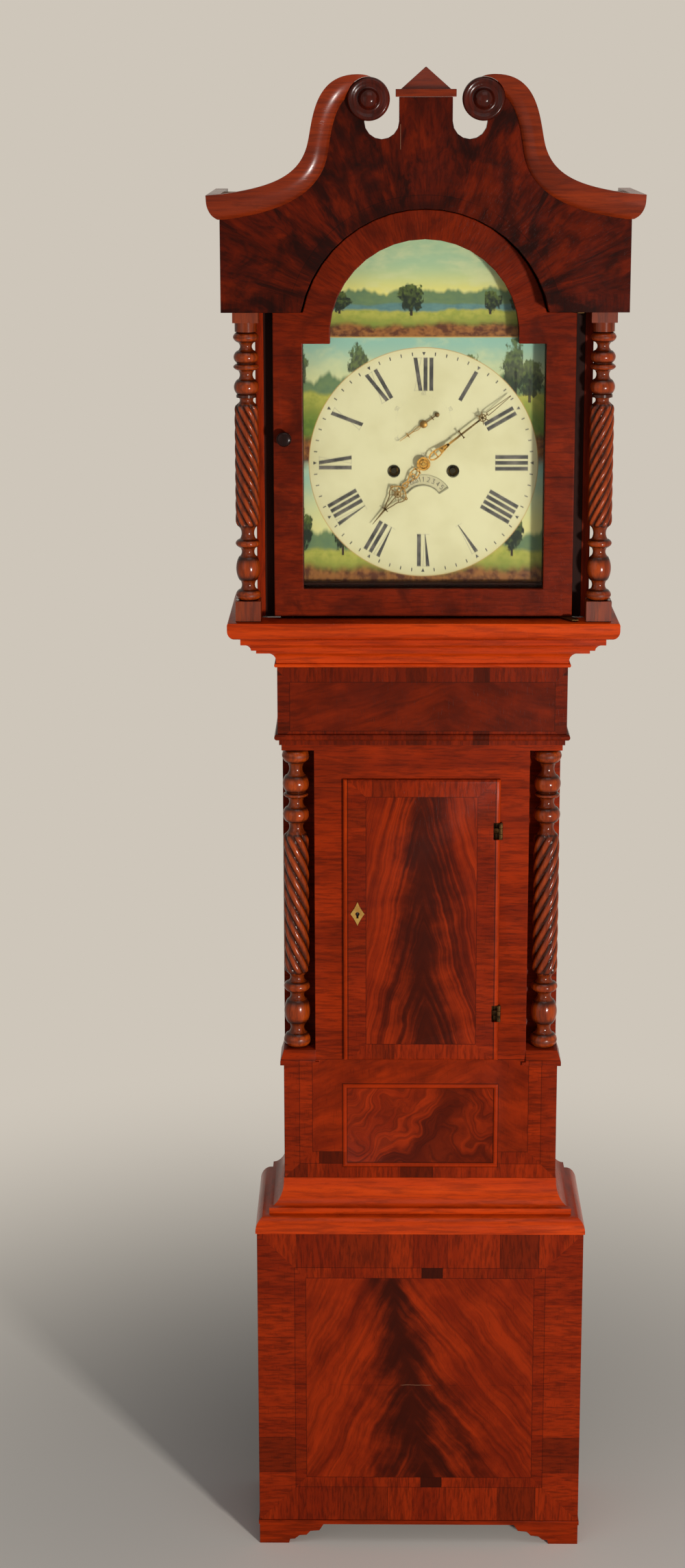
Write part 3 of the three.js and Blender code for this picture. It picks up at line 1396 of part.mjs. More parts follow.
const arborProud = 1;
const centreReach = 13;
const centrePinionDepth = greatDepth - 2 * arborProud;
const thirdPinionDepth = centreDepth - 3 * arborProud;
const arborFoot = yFrontPlate - arborProud;
const arborEnd = yPlatesEnd + arborProud;
const centre = node("centre_wheel", train(
  { teeth: centreTeeth, pitch: centrePitch, phase: centreToThirdAngle, depth: centreDepth },
  { teeth: centrePinion, pitch: greatDistance - greatPitch,
    phase: spacePhase(greatToCentre, centrePinion), depth: centrePinionDepth },
  centreArbor, [yDial - centreReach, arborEnd]), brass, movement);
centre.position.z = zDial;
const third = node("third_wheel", train(
  { teeth: thirdTeeth, pitch: thirdPitch, phase: thirdToEscapeAngle, depth: thirdDepth },
  { teeth: thirdPinion, pitch: centreToThird - centrePitch,
    phase: spacePhase(centreToThirdAngle, thirdPinion), depth: thirdPinionDepth },
  thinArbor, [arborFoot, arborEnd]), brass, movement);
third.position.set(thirdX, 0, zThird);

// The escape wheel has slender raked teeth, and its arbor carries the seconds hand
const escapeRootShare = 0.82;
const escapeRimShare = 0.86;
const escapeHubShare = 0.2;
const escapeRakeShare = 0.55;
const secondsReachOut = 5;
const escapePinionDepth = thirdDepth - 2 * arborProud;

function escapeWheel() {
  const points = [];
  const root = escapeRadius * escapeRootShare;
  for (let i = 0; i < escapeTeeth; i++) {
    const a = fullTurn * i / escapeTeeth;
    points.push([escapeRadius * Math.cos(a), escapeRadius * Math.sin(a)]);
    const b = a + fullTurn * escapeRakeShare / escapeTeeth;
    points.push([root * Math.cos(b), root * Math.sin(b)]);
  }
  const pinionPitch = thirdToEscape - thirdPitch;
  const pinion = wheel(pinionOutline(escapePinion, pinionPitch, spacePhase(thirdToEscapeAngle, escapePinion)),
    yFrontPlate + escapePinionDepth, pinionLength);
  const body = spokedWheel(points, root * escapeRimShare, escapeRadius * escapeHubShare,
    yFrontPlate + escapeDepth);
  return join(body, pinion, rodAlongY(thinArbor, yDial - secondsReachOut, arborEnd, 0, 0, 8));
}

const escape = node("escape_wheel", escapeWheel(), brass, movement);
escape.position.z = zSeconds;

// Winding drums, each on its arbor with the square standing just behind the dial
const squareSetback = 3;

function drum() {
  const y0 = yFrontPlate + drumDepth;
  const barrel = rodAlongY(drumRadius, y0, y0 + drumLength, 0, 0, 16);
  return join(barrel, rodAlongY(windingArbor, yDialBack + squareSetback, arborEnd, 0, 0, 10));
}

const goingDrum = node("going_drum", drum(), brass, movement);
goingDrum.position.set(windingSpread, 0, zWinding);
const strikePitch = 39.5;
const strikeWheel = wheel(wheelOutline(strikeTeeth, strikePitch, 0), yPlateSpace + strikeWheelDepth,
  wheelThickness, windingArbor / 2);
const strikeDrum = node("strike_drum", join(drum(), strikeWheel), brass, movement);
strikeDrum.position.set(-windingSpread, 0, zWinding);

// Anchor, arbor and crutch; the pallets stand clear of the teeth
const anchorThickness = 5;
const anchorHalfShares = [
  [0, 0.16], [0.28, 0.1], [0.62, -0.16], [0.72, -0.5], [0.6, -0.47], [0.46, -0.26], [0.22, -0.12],
];
const anchorShares = [...anchorHalfShares, ...anchorHalfShares.slice(1).map(([u, v]) => [-u, v]).reverse()];
const crutchLength = 96;
const crutchHalf = 2;
const forkHalf = 6;
const forkHeight = 4;
const rodRadius = 2.5;
const crutchSetback = 3;
const crutchThickness = 2;
const yCrutch = yPlatesEnd + crutchSetback;
const yCrutchBack = yCrutch + crutchThickness;

function anchor() {
  const points = anchorShares.map(([u, v]) => [u * anchorRise, v * anchorRise]).reverse();
  const y0 = yFrontPlate + escapeDepth - (anchorThickness - wheelThickness) / 2;
  const pallets = frontPlate(outline(points), y0, anchorThickness);
  const arbor = rodAlongY(thinArbor, arborFoot, yCrutchBack, 0, 0, 8);
  const crutch = box(-crutchHalf, crutchHalf, yCrutch, yCrutchBack, -crutchLength, crutchHalf);
  const arms = [-1, 1].map((s) => {
    const inner = rodRadius + fitGap;
    const xs = s > 0 ? [inner, forkHalf] : [-forkHalf, -inner];
    return box(xs[0], xs[1], yCrutch, yPendulum + rodRadius, -crutchLength - forkHeight, -crutchLength);
  });
  const bar = box(-forkHalf, forkHalf, yCrutch, yCrutchBack, -crutchLength - forkHeight, -crutchLength + lap);
  return join(pallets, arbor, crutch, bar, ...arms);
}

const anchorMesh = node("anchor", anchor(), steel, movement);
anchorMesh.position.z = zAnchor;

// The pendulum hangs from its spring in the slot of the back cock
const bobRadius = 57;
const bobHalf = 14;
const nutRadius = 7;
const nutHeight = 8;
const threadLength = 18;
const headOverhang = 3;
const headHeight = 6;
const springLength = 20;
const bobShares = [[0, 1], [0.6, 0.8], [1, 0.08]];

function pendulum() {
  const rise = zCock - zAnchor;
  const headHalf = springHalf + headOverhang;
  const bobFoot = -pendulumLength - bobRadius;
  const head = box(-headHalf, headHalf, -headOverhang, headOverhang,
    rise + 2 * fitGap, rise + headHeight);
  const spring = box(-springHalf, springHalf, -springThickness / 2, springThickness / 2,
    -springLength - lap, rise + lap);
  const rod = rodUpright(rodRadius, bobFoot - threadLength, -springLength, 0, 0, 8);
  const nut = rodUpright(nutRadius, bobFoot - lap - nutHeight, bobFoot - lap, 0, 0, 10);
  const face = bobShares.map(([r, h]) => [r * bobRadius, -h * bobHalf]);
  const rear = bobShares.slice().reverse().map(([r, h]) => [r * bobRadius, h * bobHalf]);
  const bob = turnedAlongY([...face, ...rear], 20).translate(0, 0, -pendulumLength);
  return join(head, spring, rod, nut, bob);
}

const pendulumMesh = node("pendulum", pendulum(), iron, movement);
pendulumMesh.position.set(0, yPendulum, zAnchor);

// Two weights, each hung on a pulley in the loop of its line
const pulleyRadius = 19;
const pulleyHalf = 4;
const zPulley = 700;
const weightRadius = 28;
const weightHeight = 205;
const cheekHalf = 3;
const cheekThickness = 1.5;
const stirrupDrop = 14;
const stirrupHeight = 5;
const stemRadius = 2.5;
const hookHeight = 34;
const weightShoulder = 8;
const weightEdge = 3;
const loopSteps = 10;
const lineLoop = (pulleyRadius + lineRadius + fitGap) / Math.cos(right / loopSteps);

function weight() {
  const groove = lineRadius + fitGap;
  const rim = lineLoop - lineRadius / 2;
  const sheave = turnedAlongY([
    [0, -pulleyHalf], [rim, -pulleyHalf], [pulleyRadius, -groove], [pulleyRadius, groove],
    [rim, pulleyHalf], [0, pulleyHalf]], 14);
  const outer = pulleyHalf + cheekThickness;
  const stirrupFoot = -pulleyRadius - stirrupDrop;
  const cheek = (y) => box(-cheekHalf, cheekHalf, y, y + cheekThickness, stirrupFoot, cheekHalf);
  const foot = box(-cheekHalf, cheekHalf, -outer, outer, stirrupFoot, stirrupFoot + stirrupHeight);
  const top = -pulleyRadius - hookHeight;
  const bottom = top - weightHeight;
  const stem = rodUpright(stemRadius, top - lap, stirrupFoot + lap, 0, 0, 8);
  const body = turned([[0, top], [weightRadius / 2, top], [weightRadius, top - weightShoulder],
    [weightRadius, bottom + weightEdge], [weightRadius - weightEdge, bottom], [0, bottom]], 14);
  return join(sheave, cheek(-outer), cheek(pulleyHalf), foot, stem, body);
}

// The line comes off the drum, passes under the pulley and is tied to the seatboard
function gutLine(x) {
  const start = new THREE.Vector3(x, yLine, zWinding);
  const loop = arc(x + lineLoop, zPulley, lineLoop, lineLoop, 2 * right, 4 * right, loopSteps)
    .map(([u, v]) => new THREE.Vector3(u, yLine, v));
  const end = new THREE.Vector3(x + 2 * lineLoop, yLine, zSeat - seatThickness - fitGap);
  const route = [start, ...loop, end];
  const section = arc(0, 0, lineRadius, lineRadius, 0, fullTurn * 5 / 6, 5);
  const rings = route.map((place, i) => {
    const before = route[Math.max(i - 1, 0)];
    const after = route[Math.min(i + 1, route.length - 1)];
    const along = after.clone().sub(before).normalize();
    const across = new THREE.Vector3(along.z, 0, -along.x);
    return section.map(([u, v]) => [place.x + across.x * u, place.y + v, place.z + across.z * u]);
  });
  return loft(rings, section);
}

for (const [side, x] of Object.entries(lineX)) {
  node(`${side}_line`, gutLine(x), gut, movement);
  const mesh = node(`${side}_weight`, weight(), iron, movement);
  mesh.position.set(x + lineLoop, yLine, zPulley);
}

// Hands, drawn pointing up and then set to the time
const handThickness = 1.2;
const minuteStandoff = 11.5;
const hourStandoff = 7.5;
const secondsStandoff = 4.5;
const minuteHub = 9;
const hourHub = 10;
const secondsHub = 5.5;
const pipeGap = 2;
const minuteHandY = yDial - minuteStandoff;
const hourHandY = yDial - hourStandoff;
const secondsHandY = yDial - secondsStandoff;
const minuteAngle = 52.6;
const hourAngle = 219.6;
const secondsAngle = 233.7;

// Half outlines of the hands: share of the reach, then half width as a share of it
const minuteShares = [
  [0.06, 0.02], [0.1, 0.045], [0.16, 0.06], [0.22, 0.05], [0.32, 0.022], [0.46, 0.014], [0.48, 0.045],
  [0.5, 0.016], [0.62, 0.014], [0.65, 0.05], [0.67, 0.03], [0.7, 0.06], [0.73, 0.03],
  [0.78, 0.022], [0.9, 0.01],
];
const hourShares = [
  [0.08, 0.03], [0.12, 0.075], [0.22, 0.09], [0.3, 0.06], [0.42, 0.03], [0.46, 0.07], [0.5, 0.05],
  [0.54, 0.18], [0.62, 0.2], [0.68, 0.1], [0.72, 0.12], [0.76, 0.04], [0.8, 0.07],
  [0.83, 0.025], [0.92, 0.012],
];
const secondsShares = [
  [0.12, 0.05], [0.34, 0.12], [0.5, 0.05], [0.62, 0.05], [0.66, 0.16], [0.7, 0.05], [0.85, 0.04],
];
const tailShares = [
  [0.1, 0.04], [0.3, 0.05], [0.34, 0.13], [0.38, 0.05], [0.46, 0.1], [0.56, 0.12], [0.62, 0.08],
];

function handShape(shares, reach, tail = []) {
  const half = shares.map(([v, u]) => [u * reach, v * reach]);
  const lower = tail.map(([v, u]) => [u * reach, -v * reach]).reverse();
  const foot = tail.length > 0 ? [0, -reach * tail[tail.length - 1][0] - lap] : [0, 0];
  const rightEdge = [...lower, ...half];
  const leftEdge = rightEdge.map(([u, v]) => [-u, v]).reverse();
  return outline([foot, ...rightEdge, [0, reach], ...leftEdge]);
}

function hand(shape, hub, bore, y) {
  const blade = frontPlate(shape, y, handThickness);
  const boss = rodAlongY(hub, y, y + handThickness, 0, 0, 12);
  const body = join(blade, boss);
  return bore > 0 ? cut(body, rodAlongY(bore, y - overrun, y + overrun, 0, 0, 8)) : body;
}

function pierced(body, y, holes) {
  const tools = holes.map(([u, v, r]) => rodAlongY(r, y - overrun, y + overrun, u, v, 6));
  return cut(body, ...tools);
}

const minuteHoleShares = [[0, 0.135, 0.022], [0, 0.2, 0.018], [0, 0.68, 0.018]];
const hourHoleShares = [[0, 0.165, 0.035], [0, 0.25, 0.028], [-0.08, 0.6, 0.045], [0.08, 0.6, 0.045]];
const scaleHoles = (shares, reach) => shares.map((share) => share.map((value) => value * reach));

const minuteBlade = hand(handShape(minuteShares, minuteReach), minuteHub, centreArbor + fitGap, minuteHandY);
const minuteHand = node("minute_hand",
  pierced(minuteBlade, minuteHandY, scaleHoles(minuteHoleShares, minuteReach)), brass, movement);
const hourPipeBody = cut(
  join(hand(handShape(hourShares, hourReach), hourHub, 0, hourHandY),
    rodAlongY(hourPipe, hourHandY, yFrontPlate - pipeGap, 0, 0, 12)),
  rodAlongY(centreArbor + fitGap, hourHandY - overrun, yFrontPlate + overrun, 0, 0, 8));
const hourHand = node("hour_hand", pierced(hourPipeBody, hourHandY, scaleHoles(hourHoleShares, hourReach)),
  brass, movement);
const secondsHand = node("seconds_hand",
  hand(handShape(secondsShares, secondsReach, tailShares), secondsHub, thinArbor + fitGap, secondsHandY),
  brass, movement);

const clockwise = (degrees) => degrees * Math.PI / 180;
minuteHand.position.z = zDial;
minuteHand.rotation.y = clockwise(minuteAngle);
hourHand.position.z = zDial;
hourHand.rotation.y = clockwise(hourAngle);
secondsHand.position.z = zSeconds;
secondsHand.rotation.y = clockwise(secondsAngle);

export default clock;
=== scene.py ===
"""The looks of a longcase clock: veneers, turnings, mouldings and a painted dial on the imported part."""

import json
import math
import bmesh
import bpy
import numpy as np
from mathutils import Matrix, Vector

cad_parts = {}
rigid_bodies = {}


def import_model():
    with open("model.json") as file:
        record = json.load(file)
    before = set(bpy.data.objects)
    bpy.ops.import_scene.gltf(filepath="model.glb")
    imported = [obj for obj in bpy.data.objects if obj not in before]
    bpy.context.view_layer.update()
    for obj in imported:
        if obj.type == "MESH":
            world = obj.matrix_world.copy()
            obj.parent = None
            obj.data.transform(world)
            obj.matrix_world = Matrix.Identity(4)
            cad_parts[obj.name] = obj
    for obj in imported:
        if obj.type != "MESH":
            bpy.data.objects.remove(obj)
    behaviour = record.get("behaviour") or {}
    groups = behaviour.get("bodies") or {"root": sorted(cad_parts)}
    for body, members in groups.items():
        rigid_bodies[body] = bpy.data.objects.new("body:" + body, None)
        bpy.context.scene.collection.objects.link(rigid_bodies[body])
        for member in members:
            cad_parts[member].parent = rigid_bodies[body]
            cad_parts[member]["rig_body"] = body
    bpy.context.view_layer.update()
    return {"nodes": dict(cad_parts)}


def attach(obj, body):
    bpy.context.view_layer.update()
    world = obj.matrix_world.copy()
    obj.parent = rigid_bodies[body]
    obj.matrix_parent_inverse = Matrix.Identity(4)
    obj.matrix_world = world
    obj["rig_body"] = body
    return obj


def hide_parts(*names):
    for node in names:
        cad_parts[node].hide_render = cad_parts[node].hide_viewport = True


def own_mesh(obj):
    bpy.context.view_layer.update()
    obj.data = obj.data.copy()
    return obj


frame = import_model()
cad = frame["nodes"]


# Sizes of the case in metres, as the solids have them
TRUNK_HALF = 0.212
BASE_HALF = 0.255
PEDIMENT_HALF = 0.291
Y_BACK = 0.13615
Y_BASE = -0.07385
Y_TRUNK = -0.03385
Y_PEDIMENT = -0.11385
Y_HOOD_REAR = 0.13415
Z_BASE_TOP = 0.536
Z_TRUNK = 0.613
Z_COLUMN = 0.824
Z_FRIEZE = 1.31
Z_WAIST = 1.43
Z_NOSE = 1.482
Z_HOOD = 1.51
Z_PEDIMENT = 1.9604
Z_ARCH = 1.9244
Z_CORNICE = 2.0904
Z_DIAL = 1.736
Z_WINDING = 1.724
WINDING_X = 0.0434
Z_SECONDS = 1.7932
Z_CALENDAR = 1.674
Y_DIAL = -0.03555
ARCH_RADIUS = 0.181
Y_CALENDAR = -0.0333
Z_RAIL_JOINT = 1.2432
Z_STILE_FOOT = 0.8089
Z_BASE_CRACK = 0.2776
TRUNK_COLUMN = (TRUNK_HALF - 0.021, Y_TRUNK + 0.021, 0.021)
HOOD_COLUMN = (0.257, Y_BASE - 0.006, 0.0185)
FIT = 0.0003
MM = 0.001


# Shapes

def crisp(mesh, crease=32):
    """Smooth shading, kept sharp across edges that turn by more than the crease in degrees."""
    mesh.polygons.foreach_set("use_smooth", np.ones(len(mesh.polygons), dtype=bool))
    mesh.set_sharp_from_angle(angle=math.radians(crease))


def tidy(mesh, near=1e-6, flat=0.0):
    """Merges points that coincide, and faces flat to an angle in degrees; turns every face outwards."""
    shape = bmesh.new()
    shape.from_mesh(mesh)
    bmesh.ops.remove_doubles(shape, verts=shape.verts, dist=near)
    if flat:
        bmesh.ops.dissolve_limit(shape, angle_limit=math.radians(flat), verts=shape.verts, edges=shape.edges)
    bmesh.ops.recalc_face_normals(shape, faces=shape.faces)
    shape.to_mesh(mesh)
    shape.free()


def in_scene(name, data):
    """A new object in the scene."""
    made = bpy.data.objects.new(name, data)
    bpy.context.scene.collection.objects.link(made)
    return made


def placed(name, mesh, body, finish, replaced, crease):
    """An object that shows a mesh with its finish and rides on a body."""
    crisp(mesh, crease)
    mesh.materials.clear()
    mesh.materials.append(finish)
    made = in_scene(name, mesh)
    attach(made, body)
    if replaced:
        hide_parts(*replaced)
    return made


def piece(name, points, faces, body, slot, finish, replaced=(), crease=32):
    """A piece from points and faces."""
    mesh = bpy.data.meshes.new(name)
    mesh.from_pydata(np.asarray(points, float).reshape(-1, 3), [], faces)
    tidy(mesh)
    return placed(name, mesh, body, finish, replaced, crease)


def eased(node, name, width, finish, segments=2, crease=32):
    """A merged copy of a solid with its sharp edges eased by a small bevel."""
    mesh = cad[node].data.copy()
    mesh.name = name
    tidy(mesh, 1e-5, 0.4)
    made = placed(name, mesh, cad[node]["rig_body"], finish, [node], crease)
    ease = made.modifiers.new("eased edges", "BEVEL")
    ease.width, ease.segments, ease.limit_method = width, segments, "ANGLE"
    ease.angle_limit = math.radians(28)


def quads(rows, columns):
    """Faces between neighbouring points of a grid whose last column meets the first."""
    here = np.arange(rows * columns).reshape(rows, columns)
    beside = np.roll(here, -1, axis=1)
    return np.stack([here[:-1], beside[:-1], beside[1:], here[1:]], axis=-1).reshape(-1, 4).tolist()


def capped(rows, columns):
    """The faces of a tube of rows of points, closed by one face at each end."""
    last = (rows - 1) * columns
    ends = [list(range(columns))[::-1], list(range(last, last + columns))]
    return quads(rows, columns) + ends


def together(parts):
    """Joins (points, faces) pairs into one list of points and one list of faces."""
    points, faces, count = [], [], 0
    for part_points, part_faces in parts:
        part_points = np.asarray(part_points, float).reshape(-1, 3)
        points.append(part_points)
        faces += [[index + count for index in face] for face in part_faces]
        count += len(part_points)
    return np.vstack(points), faces


def bow(cu, cv, ru, rv, start, stop, steps):
    """Points on an ellipse about (cu, cv): (cu + ru cos a, cv + rv sin a), a from start to stop degrees."""
    a = np.radians(np.linspace(start, stop, steps + 1))
    return np.column_stack([cu + ru * np.cos(a), cv + rv * np.sin(a)])


def revolved(profile, sides, centre=(0, 0, 0), along="z"):
    """A turned form: each (r, h) of the profile goes round as (r cos a, r sin a, h), h up or towards the front."""
    profile = np.asarray(profile, float)
    a = np.linspace(0, 2 * math.pi, sides, endpoint=False)
    r, h = profile[:, :1], profile[:, 1:]
    u, v = r * np.cos(a), r * np.sin(a)
    w = np.broadcast_to(h, u.shape)
    order = (u, v, w) if along == "z" else (u, -w, v)
    return np.stack(order, axis=-1) + np.asarray(centre), capped(len(profile), sides)


def wrapped(section, half, y_front, y_end):
    """A moulding round three sides: each (proud, z) of the section is carried along a mitred path."""
    proud, z = np.asarray(section, float).T
    stations = [
        (-(half + proud), np.full_like(proud, y_end)), (-(half + proud), y_front - proud),
        (half + proud, y_front - proud), (half + proud, np.full_like(proud, y_end)),
    ]
    points = np.stack([np.column_stack([x, y, z]) for x, y in stations])
    return points, capped(len(stations), len(proud))


def prism(outline, y_front, thickness):
    """A flat plate: the (x, z) outline at y_front and again at y_front + thickness."""
    x, z = np.asarray(outline, float).T
    front = np.column_stack([x, np.full_like(x, y_front), z])
    back = front + (0, thickness, 0)
    return np.stack([front, back]), capped(2, len(x))


def bar(x0, x1, y0, y1, z0, z1):
    """A straight bar between two corners."""
    return prism([(x0, z0), (x1, z0), (x1, z1), (x0, z1)], y0, y1 - y0)


def turned_in_plane(outline, degrees, centre):
    """An (x, z) outline turned clockwise as the viewer sees it, then set at a centre."""
    a = math.radians(degrees)
    x, z = np.asarray(outline, float).T
    return np.column_stack([
        centre[0] + x * math.cos(a) + z * math.sin(a), centre[1] + z * math.cos(a) - x * math.sin(a)])


def heading(line):
    """The unit vectors along a line of points."""
    ahead = np.gradient(line, axis=0)
    return ahead / np.linalg.norm(ahead, axis=1)[:, None]


# Turned columns: forms from the foot up as (form, share of the height, share of the radius)

TRUNK_TURNING = [
    ("round", 0.048, 1), ("cove", 0.032, 0.5), ("round", 0.082, 0.97), ("cove", 0.027, 0.5),
    ("round", 0.034, 0.98), ("cove", 0.025, 0.5), ("twist", 0.476, 0.95), ("cove", 0.034, 0.5),
    ("round", 0.05, 0.97), ("cove", 0.032, 0.5), ("round", 0.016, 0.9), ("round", 0.057, 0.97),
    ("cove", 0.041, 0.48), ("round", 0.046, 1),
]
HOOD_TURNING = [
    ("round", 0.036, 1), ("cove", 0.029, 0.52), ("round", 0.08, 0.96), ("cove", 0.029, 0.5),
    ("round", 0.027, 0.98), ("cove", 0.038, 0.5), ("twist", 0.403, 0.96), ("cove", 0.018, 0.52),
    ("flat", 0.009, 0.8), ("round", 0.049, 0.98), ("cove", 0.029, 0.5), ("round", 0.022, 1),
    ("round", 0.04, 0.98), ("cove", 0.027, 0.46), ("round", 0.033, 1), ("flat", 0.031, 0.87),
]
TRUNK_TWIST = (7, 0.188)
HOOD_TWIST = (8, 0.164)
TWIST_DEPTH = 0.22


def turning_profile(turning, height, radius):
    """Radius, height and twist depth of each ring: rounds swell as a sine, coves dip as a parabola.

    A twisted shaft keeps its radius but for the rounded shoulders at its ends, R (1 - 0.22 (1 - e)^2).
    """
    total = sum(share for _, share, _ in turning)
    neck = 0.68 * radius
    r, z, depth, low = [], [], [], 0
    for form, share, size in turning:
        tall = height * share / total
        steps = {"round": 14, "cove": 8, "flat": 3, "twist": 150}[form]
        t = np.linspace(0.02, 0.98, steps)
        if form == "round":
            swell = neck + (radius * size - neck) * np.sin(math.pi * t) ** 0.72
        elif form == "cove":
            swell = radius * size + (neck * 0.94 - radius * size) * (2 * t - 1) ** 2
        else:
            shoulder = 1 - np.clip(np.minimum(t, 1 - t) * 18, 0, 1) if form == "twist" else np.zeros(steps)
            swell = radius * size * (1 - 0.22 * shoulder ** 2)
        r.append(swell)
        z.append(low + tall * t)
        depth.append(np.clip(np.minimum(t, 1 - t) * 34, 0, 1) if form == "twist" else np.zeros(steps))
        low += tall
    return np.concatenate(r), np.concatenate(z), np.concatenate(depth)


def twist_column(turning, height, radius, twist, hand, centre):
    """A turning whose shaft is roped: r is cut back by depth (1 - |sin(n/2 (a - 2 pi z / lead))|)."""
    strands, lead = twist
    r, z, depth = turning_profile(turning, height, radius)
    shaft = z[depth > 0]
    along = np.clip(z, shaft[0], shaft[-1]) - shaft[0]
    a = np.linspace(0, 2 * math.pi, 14 * strands, endpoint=False)
    turn = hand * 2 * math.pi * along[:, None] / lead
    strand = np.abs(np.sin(strands / 2 * (a - turn)))
    rope = r[:, None] * (1 - TWIST_DEPTH * depth[:, None] * (1 - strand))
    end = np.full((1, len(a)), 0.4 * radius)
    rope = np.vstack([end, rope, end])
    z = np.concatenate([[z[0]], z, [z[-1]]])
    points = np.stack([rope * np.cos(a), rope * np.sin(a), np.broadcast_to(z[:, None], rope.shape)], axis=-1)
    return points + np.asarray(centre), capped(len(z), len(a))


# Swan necks: Bezier edges as shares of the pediment's half width and of the neck's rise

UPPER_EDGE = [
    (0.979, 0.183), (0.739, 0.231), (0.605, 0.307), (0.569, 0.533), (0.545, 0.688), (0.54, 1), (0.33, 1),
    (0.3, 1), (0.277, 0.9925), (0.256, 0.9764)]
LOWER_EDGE = [
    (0.979, 0), (0.704, 0.05), (0.502, 0.171), (0.471, 0.47), (0.454, 0.638), (0.433, 0.859), (0.316, 0.889),
    (0.3, 0.9), (0.27, 0.905), (0.256, 0.91)]
NECK_RISE = 0.199
CORNICE_HEIGHT = 0.0345
CORNICE_PROUD = 0.018


def bezier(edge, steps):
    """Points of joined cubic Bezier curves: sum of the four corners weighted by the Bernstein polynomials."""
    t = np.linspace(0, 1, steps + 1)[:, None]
    weights = np.hstack([(1 - t) ** 3, 3 * t * (1 - t) ** 2, 3 * t ** 2 * (1 - t), t ** 3])
    runs = [weights @ np.array(edge[first:first + 4]) for first in range(0, len(edge) - 1, 3)]
    line = np.vstack([runs[0], *[run[1:] for run in runs[1:]]])
    return line * (PEDIMENT_HALF, NECK_RISE) + (0, Z_CORNICE)


OVOLO = [[0, 0], [0.03, 0.2], [0.22, 0.62], [0.56, 0.92], [1, 1]]
ROSETTE_X = 0.0805
Z_ROSETTE = 2.2559
ROSETTE_RADIUS = 0.03
SCROLL_PROUD_SHARE = 0.43


def smooth_line(points, steps):
    """A rounder line through points: Catmull-Rom pieces with steps points each."""
    points = np.asarray(points, float)
    ends = np.vstack([2 * points[0] - points[1], points, 2 * points[-1] - points[-2]])
    t = np.linspace(0, 1, steps, endpoint=False)[:, None]
    runs = []
    for a, b, c, d in zip(ends[:-3], ends[1:-2], ends[2:-1], ends[3:]):
        runs.append(0.5 * (2 * b + (c - a) * t + (2 * a - 5 * b + 4 * c - d) * t ** 2
                           + (3 * b - a - 3 * c + d) * t ** 3))
    return np.vstack(runs + [points[-1:]])


def swan_neck(side):
    """A section of rising and proud shares is laid between the lower and the upper edge of the scroll."""
    section = np.vstack([smooth_line(OVOLO, 5), [[1, 0]]])
    upper, lower = bezier(UPPER_EDGE, 24), bezier(LOWER_EDGE, 24)
    face = Y_PEDIMENT - FIT
    rise, out = section.T
    proud = CORNICE_PROUD * (1 - np.linspace(0, 1, len(upper)) * (1 - SCROLL_PROUD_SHARE))
    front = np.stack([
        lower[:, :1] + (upper - lower)[:, :1] * rise, face - proud[:, None] * out,
        lower[:, 1:] + (upper - lower)[:, 1:] * rise], axis=-1)
    flank = np.column_stack([PEDIMENT_HALF + FIT + out * CORNICE_PROUD, face - out * CORNICE_PROUD,
                             Z_CORNICE + rise * CORNICE_HEIGHT])
    rear = flank.copy()
    rear[:, 1] = Y_HOOD_REAR
    points = np.concatenate([[rear], [flank], front]) * (side, 1, 1)
    return points, capped(len(points), len(section))


# Shading. Arithmetic on Signals adds nodes; groups give colours, masks or values that change over the surface.

def operator(operation, turned=False):
    """An operator of Signal that adds one step of arithmetic, with its two sides swapped where turned."""
    def apply(first, second):
        return maths(operation, *((second, first) if turned else (first, second)))
    return apply


class Signal:
    """What one output of a node gives."""

    __add__ = __radd__ = operator("ADD")
    __mul__ = __rmul__ = operator("MULTIPLY")
    __sub__, __rsub__ = operator("SUBTRACT"), operator("SUBTRACT", True)
    __truediv__, __pow__ = operator("DIVIDE"), operator("POWER")
    __lt__, __gt__ = operator("LESS_THAN"), operator("GREATER_THAN")

    def __init__(self, socket):
        self.socket, self.tree = socket, socket.id_data
        self.wide = socket.type in ("VECTOR", "RGBA")

    def __abs__(self):
        return maths("ABSOLUTE", self)


def fill(node, inputs):
    """Sets each input of a node, or joins it to a Signal."""
    for key, value in inputs.items():
        if isinstance(value, Signal):
            value.tree.links.new(value.socket, node.inputs[key])
        else:
            node.inputs[key].default_value = value
    return node


def add(tree, kind, inputs=(), **settings):
    """Adds a node with its settings and its inputs; in place of a tree stand Signals that are in it."""
    if not isinstance(tree, bpy.types.NodeTree):
        tree = next(value.tree for value in tree if isinstance(value, Signal))
    made = tree.nodes.new("ShaderNode" + kind)
    for key, value in settings.items():
        setattr(made, key, value)
    return fill(made, dict(inputs))


def outputs(kind, names, inputs, **settings):
    """Adds a node in the tree of its inputs and gives some of its outputs, or one."""
    inputs = dict(inputs)
    made = add(inputs.values(), kind, inputs, **settings)
    found = [Signal(made.outputs[name]) for name in names]
    return found if len(found) > 1 else found[0]


def maths(operation, *values):
    """One step of arithmetic: a Math node, or a Vector Math node where a vector takes part."""
    wide = any(isinstance(value, tuple) or getattr(value, "wide", False) for value in values)
    return outputs("VectorMath" if wide else "Math", [0], enumerate(values), operation=operation)


def highest(first, second):
    """The larger of two values."""
    return maths("MAXIMUM", first, second)


def distance(u, v):
    """The length of (u, v)."""
    return maths("SQRT", u * u + v * v)


def between(value, low, high, top=1.0, bottom=0.0):
    """A smooth step of a value from low to high."""
    return outputs("MapRange", ["Result"], {"Value": value, "From Min": low, "From Max": high, "To Min": bottom,
                                            "To Max": top}, interpolation_type="SMOOTHSTEP")


def joint_line(value, place, half=0.0004):
    """1 along a thin line where the value equals a place."""
    return between(abs(value - place), half * 2, half * 0.6)


def layered(colour, *layers):
    """A colour under layers, each a share and a colour."""
    for share, over in layers:
        colour = outputs("Mix", [2], {0: share, 6: colour, 7: over}, data_type="RGBA")
    return colour


